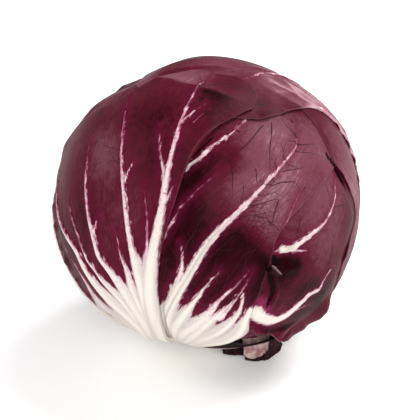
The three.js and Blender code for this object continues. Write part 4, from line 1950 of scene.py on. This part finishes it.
FAR_RIGHT = Leaf(
    name="leaf_far_right", seed=23, step=0.8,
    lines=(
        ((11, 72), (28, 77), (46, 78), (61, 76), (78, 62), (96, 63), (110.5, 43.6), (134, 28)),
        ((11, 80), (31, 84), (49, 86), (67, 82), (85, 74), (101, 72), (117, 62), (134, 44)),
        ((11, 92), (32, 101), (53, 99), (74, 96), (94, 92), (113, 86), (130, 75), (142, 60)),
        ((11, 108), (32, 112), (53, 114), (74, 114), (94, 113), (112, 110), (128, 104), (142, 90)),
        ((11, 125), (31, 129), (51, 133), (71, 135), (90, 135), (106, 133), (120, 128), (133, 112)),
    ),
    ribs=(
        Rib((
            (12, 92), (32, 101), (53, 99), (74, 96), (94, 92), (113, 86), (130, 75),
        ), (3.6, 0.2), (2.2, 0.2), (1.1, 0.2)),
        Rib((
            (12, 108), (32, 112), (53, 114), (74, 114), (94, 113), (112, 110), (124, 106),
        ), (2.6, 0.2), (1.6, 0.2), (1.05, 0.2)),
        Rib(((44, 85), (52, 86), (62, 84), (74, 80), (88, 73)), (1.2, 0.15), (1.2, 0.1), (1, 0.1)),
    ),
    twigs=((0, 0.5, -8), (0, 0.66, 8), (1, 0.45, 7), (1, 0.62, -8)),
    ruffles=(
        Ruffle((108, 45), (101, 53), 0.2, 13, 4, raise_by=0.5),
        Ruffle((84, 58), (61, 76), 0.5, 11, 5, raise_by=0.3),
    ),
    swells=(Spot((66, 82), 11, -1.6),), rim=0.05, web=8, blade=0.3, air=0.05, slope=5,
    # Spots of painted sheen (above 0) and painted shade (below 0).
    tone_sheen_shade_spots=(
        Spot((92, 72), 20, 0.8), Spot((114, 54), 13, 0.75), Spot((100, 56), 13, 0.8),
        Spot((124, 44), 7, 0.45), Spot((70, 90), 16, 0.3), Spot((24, 66), 16, -1.6),
    ),
)

# The gap under the margin of the far right leaf, pressed in, with painted shadow inside.
FAR_RIGHT_GAP = Slit((
    (115, 36.4), (112.8, 38.8), (110.4, 41.8), (108, 45), (104.6, 48.6), (101.6, 51),
), 0.75, 1.2)

FRONT_RIGHT = Leaf(
    name="leaf_front_right", seed=31, spacing=9, rim=0.05, web=44, blade=0.45, air=0.15, step=0.58,
    lines=(
        ((11, -30), (30, -32), (50, -34), (70, -34), (92, -32), (112, -24), (132, -8)),
        ((11, -24), (30, -23), (50, -24), (70, -24), (90, -18), (108, -6.5), (134, 9)),
        ((11, -19), (30, -18), (50, -18.5), (70, -18), (84, -12.5), (102, -1), (133, 18)),
        ((11, -14), (32, -15.5), (46, -12), (61, -6.4), (79, 1.7), (100, 15.2), (134, 28)),
        ((11, -9), (30, -10), (42, -5), (53, -0.7), (70, 7.5), (94, 21), (132, 40)),
        ((11, -3), (28, -3), (40, 4), (52, 7.5), (66, 14.4), (89, 22.5), (129, 48)),
        ((11, 12), (25, 17), (38, 20), (50, 17), (63, 18), (86, 23), (123, 52)),
        ((11, 28), (24, 36), (38, 35), (50, 25), (66, 21.6), (85, 23.2), (117, 52)),
    ),
    ribs=(
        Rib((
            (12, -14), (32.2, -15.8), (46, -12.2), (61.2, -6.4), (72.6, -2.3), (79.2, 1.7), (86.9, 6.8),
            (97.3, 13.3), (105.1, 18.5), (110.9, 22.2), (116.8, 23.1), (121.8, 22.4),
        ), (3.4, 0.12), (2.8, 0.25), (1.5, 0.2), taper=0.88, shaded_groove=0.8),
        Rib((
            (93.8, -16), (95.8, -14.4), (98.5, -11.6), (103, -9.1), (109.3, -3.3), (117.2, 1.6),
            (121.6, 4.1),
        ), (1, 0.25), (0.8, 0.2), (1, 0.4)),
        fine((
            (66, -20), (74.6, -16.7), (81.9, -14), (92.6, -6.5), (97, -3.8),
        ), (0.7, 0.1), (0.35, 0.1), (0.55, 0.1)),
        Rib((
            (50, -12), (56, -10.5), (61.1, -9.9), (66, -10.8), (69.5, -11.8),
        ), (1.9, 0.12), (1, 0.1), (1.1, 0.5)),
        Rib((
            (12, -9), (30, -10), (42, -5.5), (52.9, -0.9), (58, 1.2), (63, 4),
        ), (3.6, 0.15), (2.6, 0.15), (1.3, 0.8)),
        Rib((
            (12, -3), (28, -3), (38, 2.5), (46, 6.2), (52, 7.6), (59, 11.6), (65.7, 14.4),
        ), (3.3, 0.12), (2.4, 0.1), (1.3, 0.4)),
        Rib(((12, 4), (26, 4), (39.9, 7.8), (50.5, 12.4), (56, 14)), (3.4, 0.15), (2.5, 0.1), (1.3, 0.8)),
        fine(((44, 12), (50, 13.6), (58, 15), (66, 15.9)), (0.8, 0.12), (0.5, 0.1), (0.9, 0.2)),
        Rib((
            (12, 13), (25, 13), (37, 17.5), (44, 18.6), (50, 18.6), (57, 16.2),
        ), (3, 0.5), (2.4, 0.4), (1.3, 0.9)),
        Rib((
            (12, 22), (22, 27), (32, 30), (40, 28), (46, 24.5), (51.5, 23),
        ), (3.6, 1.3), (2.4, 0.7), (1.3, 1)),
        fine(((77, 22.4), (85.2, 23), (91, 24.2), (95.5, 25.4)), (0.5, 0.15), (0.2, 0.1), (0.3, 0.1)),
    ),
    veins=(
        Vein(((117, 8.5), (110.2, 5.1), (105.8, 2.5), (101.3, -0.8), (97.2, -3.9)), 0.36),
        Vein(((118.6, 12), (114.4, 12.1), (108.7, 11.8), (103.5, 12.3), (97.9, 12.4)), 0.36),
        Vein(((123.2, 21.2), (120.4, 22.8), (116.9, 23.1)), 0.34),
        Vein(((112.2, 23.9), (113.5, 28), (114.8, 32.8)), 0.26),
        Vein(((98.2, -0.7), (95.5, 0.4), (91.7, 0.9), (86.3, 2.6)), 0.3),
        Vein(((99.3, 7.7), (94.6, 9), (93.3, 9.6)), 0.24), Vein(((92.6, 4.7), (89, 5.7)), 0.2),
        Vein(((100.8, 17.7), (102.7, 22.2), (104.7, 27.1)), 0.26),
        Vein(((93.8, 11.8), (95.4, 15.2), (97.4, 19.3), (98.2, 22.7), (95.3, 26.2)), 0.3),
        Vein(((97.7, 27.8), (95.3, 26.2)), 0.26),
        Vein(((86.1, 7.9), (87.9, 11.6), (90, 15.3), (91.3, 17.7)), 0.3),
        Vein(((91.1, 17.8), (87.8, 17.5), (84.8, 17.2), (82.9, 17.4), (81.2, 15.4), (79.2, 13.9)), 0.28),
        Vein(((84.2, 10.4), (83.8, 12.6), (84.2, 14.6), (82.8, 17.1)), 0.26),
        Vein(((82.8, 17.1), (81.5, 19.8), (80.8, 21.1)), 0.26),
        Vein(((96.9, -4.3), (97.9, -2.1), (98.1, -0.2)), 0.24),
    ),
    slits=(
        Slit(((98.2, -14.6), (100.9, -12.8), (103.9, -11.1), (106.5, -9.6), (108.9, -8.3)), 0.3, 0.5),
        FAR_RIGHT_GAP,
    ),
    nets=(Spot((81, 14), 8, 0.5), Spot((88, 10), 8, 0.2)),
    # Spots of painted sheen (above 0) and painted shade (below 0).
    tone_sheen_shade_spots=(
        Spot((112, 16), 18, 0.85), Spot((96, 14), 16, 0.8), Spot((85, 17), 12, 0.6),
        Spot((106, 40), 12, 0.5), Spot((120, 34.5), 6, 0.55), Spot((112, 37), 5, 0.4),
        Spot((104, 28), 9, 0.1), Spot((92, 7), 8, 0.35), Spot((92, -14), 8, -1.1),
        Spot((76, -14), 9, -1.2), Spot((100, -2), 6, -0.5), Spot((62, 2), 11, -0.8),
        Spot((60, 13), 9, -1.2), Spot((64, 17), 7, -1.2), Spot((71, 7), 9, -1.1), Spot((48, -10), 6, 0.2),
    ),
    blushes=(Spot((46, 18.8), 3, 0.45),),
)

RIGHT = Leaf(
    name="leaf_right", seed=43, step=0.6,
    lines=(
        ((11, 5), (28, 6), (45, 8), (62, 8), (80, 9), (100, 18), (117, 28)),
        ((11, 14), (28, 14), (45, 19), (60, 21), (74, 23), (90, 40.5), (112, 46)),
        ((11, 20), (28, 19), (43, 24), (54, 32), (66, 38), (84, 47), (106, 54)),
        ((11, 25), (28, 25), (41, 28), (49.5, 37), (58, 45.5), (69, 51.5), (96, 64)),
        ((11, 28), (27, 29), (40, 31), (46, 45), (53, 57), (66, 62), (86, 74)),
        ((11, 31), (26, 32), (40, 34), (42, 50), (43, 67), (59, 73), (78, 80)),
    ),
    ribs=(
        Rib((
            (12, 24), (28, 24), (42, 23), (49.5, 25.5), (48.6, 31.5), (48.6, 38), (50.8, 43),
            (58.4, 45.9), (62.7, 48.1), (65.3, 52.1), (68.5, 51.6), (71.7, 52.2), (75.1, 55.1),
        ), (6.3, 0.1), (2.8, 0.25), (1.6, 0.4)),
        fine(((50.5, 43), (54.2, 46.4), (57, 49.5), (59.1, 54.2)), (0.8, 0.15), (0.4, 0.1), (0.8, 0.1)),
        fold(((73.4, 23.2), (72.4, 28), (72.2, 32), (71.6, 36.5)), (2.2, 2.2), (-1, -0.3), (0.1, -0.7)),
        fold(((67, 27.5), (69.4, 31), (71.6, 36)), (1.8, 1.8), (0.9, 0.3), (-0.4, 0)),
        Rib((
            (75.2, 24.2), (76.3, 27.4), (79.1, 30.8), (82.4, 34), (85.5, 37.4), (88.9, 40.2),
            (95.9, 42.9), (102.8, 43.5), (107.2, 45.2),
        ), (1.5, 0.12), (1, 0.2), (1.1, 0.3), taper=0.9),
        fold(((44.5, 31), (43.6, 38), (44, 46), (47, 54), (52, 60)), (1.1, 1.3), (0.9, 0.7), (-0.6, 0.5)),
        fold(((42.5, 34), (41.5, 42), (42.5, 52), (46, 60)), (0.8, 1), (-0.7, -0.5), (-0.5, 0.2)),
        Rib(((76.4, 28), (75.2, 24.8), (73.8, 22.2)), (1.5, 0.3), (0.9, 0.3), (1.1, 0.9)),
        fine(((76, 26), (76, 29.5), (77, 35)), (1.3, 0.1), (0.5, 0.1), (1.1, 0.5)),
    ),
    veins=(
        Vein(((86.9, 28.4), (81.4, 28.3), (77.9, 28.3)), 0.26),
        Vein(((94.4, 43.5), (96, 50), (98, 56.6)), 0.26),
    ),
    slits=(
        Slit(((72.4, 21.6), (71, 22.8), (69.6, 25)), 1.3, 3),
        Slit((
            (67.5, 21.8), (66.3, 22.4), (64, 24.8), (59.8, 28.4), (56, 29.6), (52.6, 30.6),
        ), 0.6, 2.6, 0.6),
        FAR_RIGHT_GAP,
    ),
    web=14,
    ruffles=(
        Ruffle((38, 38), (42, 62), 2, 6, 7, raise_by=2),
        Ruffle((42, 60), (75, 78), 1, 10, 9, raise_by=2.3),
    ),
    # Spots of painted sheen (above 0) and painted shade (below 0).
    tone_sheen_shade_spots=(
        Spot((90, 38), 17, 0.75), Spot((103, 36), 9, 0.55), Spot((78, 42), 13, 0.15),
        Spot((46, 50), 9, 0.1), Spot((63, 54), 9, -1), Spot((76, 36), 8, -0.4), Spot((62, 40), 9, -0.3),
        Spot((48, 55), 12, -0.1), Spot((64, 26), 7, -0.4), Spot((71.5, 29), 4, -1),
    ),
    blushes=(Spot((55, 25.5), 3.4, 0.5), Spot((52.5, 31), 3, 0.5), Spot((54.5, 38), 3.5, 0.35)),
)

BACK = Leaf(
    name="leaf_back", seed=57, step=0.9,
    lines=(
        ((11, 176), (32, 172), (55, 166), (80, 160), (105, 158), (129, 163), (150, 168)),
        ((11, 190), (33, 188), (57, 185), (82, 180), (107, 180), (133, 186), (164, 188)),
        ((11, 205), (34, 206), (58, 205), (84, 203), (110, 205), (137, 212), (171, 222)),
        ((11, 221), (33, 223), (57, 224), (82, 226), (107, 230), (133, 240), (166, 262)),
        ((11, 238), (32, 238), (55, 242), (80, 247), (104, 251), (126, 259), (149, 276)),
    ),
    ribs=(
        Rib((
            (12, 205), (34, 206), (58, 205), (84, 203), (110, 205), (137, 212),
        ), (4.2, 0.2), (2.5, 0.2), (1.1, 0.2)),
        Rib((
            (12, 190), (33, 188), (57, 185), (82, 180), (107, 180), (125, 184),
        ), (3, 0.2), (1.8, 0.2), (1.1, 0.1)),
        Rib((
            (12, 221), (33, 223), (57, 224), (82, 226), (107, 230), (126, 237),
        ), (3, 0.2), (1.8, 0.2), (1.1, 0.1)),
    ),
    twigs=(
        (0, 0.42, 9), (0, 0.55, -9), (0, 0.7, 9), (1, 0.5, -8), (1, 0.64, 8), (2, 0.38, -8), (2, 0.56, 8),
        (2, 0.72, -9),
    ),
    ruffles=(Ruffle((105, 158), (105, 251), 0.6, 12, 5, raise_by=0.3),),
    # Spots of painted sheen.
    tone_sheen_shade_spots=(Spot((90, 200), 20, 0.4), Spot((125, 215), 18, 0.5)),
)

BACK_LEFT = Leaf(
    name="leaf_back_left", seed=71, step=0.9,
    lines=(
        ((11, 230), (30, 230), (52, 228), (76, 228), (100, 232), (123, 241), (145, 258)),
        ((11, 247), (31, 248), (54, 247), (79, 248), (104, 253), (130, 263), (157, 284)),
        ((11, 265), (32, 267), (56, 267), (82, 270), (108, 276), (135, 287), (163, 316)),
        ((11, 283), (31, 284), (54, 286), (79, 290), (104, 294), (128, 304), (152, 330)),
        ((11, 301), (30, 302), (50, 304), (73, 307), (97, 310), (119, 315), (136, 324)),
    ),
    ribs=(
        Rib((
            (12, 265), (32, 267), (56, 267), (82, 270), (108, 276), (135, 287),
        ), (4, 0.2), (2.4, 0.2), (1.1, 0.2)),
        Rib((
            (12, 247), (31, 248), (54, 247), (79, 248), (104, 253), (124, 260),
        ), (3, 0.2), (1.8, 0.2), (1.1, 0.1)),
        Rib((
            (24, 284), (34, 288), (54, 290), (79, 292), (104, 295), (122, 301),
        ), (1.8, 0.2), (1.8, 0.2), (1.1, 0.1)),
    ),
    twigs=((0, 0.5, -8), (0, 0.62, 9), (1, 0.45, -7), (1, 0.66, 8), (2, 0.55, 7)), web=30,
    swells=(Spot((25, 300), 10, 1.8),),
    ruffles=(Ruffle((60, 229), (145, 258), 0.5, 12, 5, raise_by=0.3),),
    # Spots of painted sheen.
    tone_sheen_shade_spots=(Spot((85, 260), 20, 0.4), Spot((125, 285), 18, 0.5)),
)

TEAR = Curl(
    name="right_tear_curl", node="leaf_right", start=(68.6, 21.4), end=(66.6, 26.6), radius=(1.9, 1.1),
)

LEAVES = (FRONT_LEFT, CROWN, FAR_RIGHT, FRONT_RIGHT, RIGHT, BACK, BACK_LEFT)


# ---- The studio ----


@dataclass(frozen=True)
class SoftBox:
    """A large soft light.

    Attributes:
        name: Its name.
        place: Where it hangs, in metres.
        size: Its width, in metres.
        power: In watts.
    """

    name: str
    place: Point
    size: float
    power: float

    def hang(self, target: Array) -> None:
        """Makes the light and aims it.

        Args:
            target: The point it faces, in metres.
        """
        lamp = bpy.data.lights.new(self.name, "AREA")
        lamp.shape = "DISK"
        lamp.size = self.size
        lamp.energy = self.power
        back = unit(np.array(self.place) - target)
        side = unit(np.cross([0.0, 0.0, 1.0], back))
        aim = np.eye(4)
        aim[:3, :3] = np.stack([side, np.cross(back, side), back], axis=1)
        aim[:3, 3] = self.place
        linked(self.name, lamp).matrix_world = Matrix(aim.tolist())


@dataclass(frozen=True)
class Studio:
    """The floor, the lights and the camera.

    Attributes:
        floor_size: Width of the floor, in metres.
        camera_place: Where the camera stands, in metres.
        camera_dip: Degrees that it looks below the horizon.
        lens: Focal length on a 36 mm sensor, in mm.
        sky: Brightness of the light from all round.
        lights: The soft lights.
    """

    floor_size: float = 6.0
    camera_place: Point = (0.00079, -0.42113, 0.25094)
    camera_dip: float = 25.0
    lens: float = 100.0
    sky: float = 0.5
    lights: tuple[SoftBox, ...] = (
        SoftBox("key", (0.9, 0.6, 1.6), 1.2, 38.0),
        SoftBox("fill", (-1.2, -0.3, 1.0), 1.0, 7.0),
        SoftBox("front", (0.2, -1.5, 0.9), 0.9, 13.0),
    )

    def build(self) -> None:
        """Makes the floor, the lights and the camera."""
        scene = bpy.context.scene
        scene.view_settings.view_transform = "Standard"
        half = self.floor_size / 2
        corners = [(-half, -half, 0), (half, -half, 0), (half, half, 0), (-half, half, 0)]
        mesh = bpy.data.meshes.new("floor")
        mesh.from_pydata(corners, [], [(0, 1, 2, 3)])
        mesh.materials.append(FloorFinish().make())
        floor = linked("floor", mesh)
        world = bpy.data.worlds.new("sky")
        world.use_nodes = True
        light = world.node_tree.nodes["Background"]
        light.inputs["Color"].default_value = (1, 1, 1, 1)
        light.inputs["Strength"].default_value = self.sky
        scene.world = world
        target = np.array([0, 0, SKIN.centre_height * MM])
        for soft_box in self.lights:
            soft_box.hang(target)
        lens = bpy.data.cameras.new("camera")
        lens.lens = self.lens
        lens.sensor_width = 36.0
        camera = linked("camera", lens)
        camera.location = self.camera_place
        camera.rotation_euler = (math.radians(90 - self.camera_dip), 0, 0)
        scene.camera = camera
        LOG.info("studio: %d lights", len(self.lights))


def main() -> None:
    """Builds the head and the studio."""
    logging.basicConfig(level=logging.INFO, format="%(message)s", force=True)
    material = LeafFinish("leaf").make()
    vein_material = VeinFinish().make()
    for leaf in LEAVES:
        leaf.lay_out()
    for order, leaf in enumerate(LEAVES):
        leaf.shape(LEAVES[:order])
        piece = leaf.build(material)
        LOG.info("%s: %d faces", piece.name, len(piece.data.polygons))
        VeinNet(leaf, LEAVES[:order]).build(piece, vein_material)
    TEAR.build(material)
    LOG.info("%s: made", TEAR.name)
    for piece in TornLeaf().build(DriedFinish().make()):
        LOG.info("%s: %d faces", piece.name, len(piece.data.polygons))
    for node, finish in (("heart", HeartFinish()), ("stem", StemFinish())):
        bpy.data.objects[node].material_slots[0].material = finish.make()
        LOG.info("%s: finished", node)
    Studio().build()


if __name__ == "__main__":
    main()
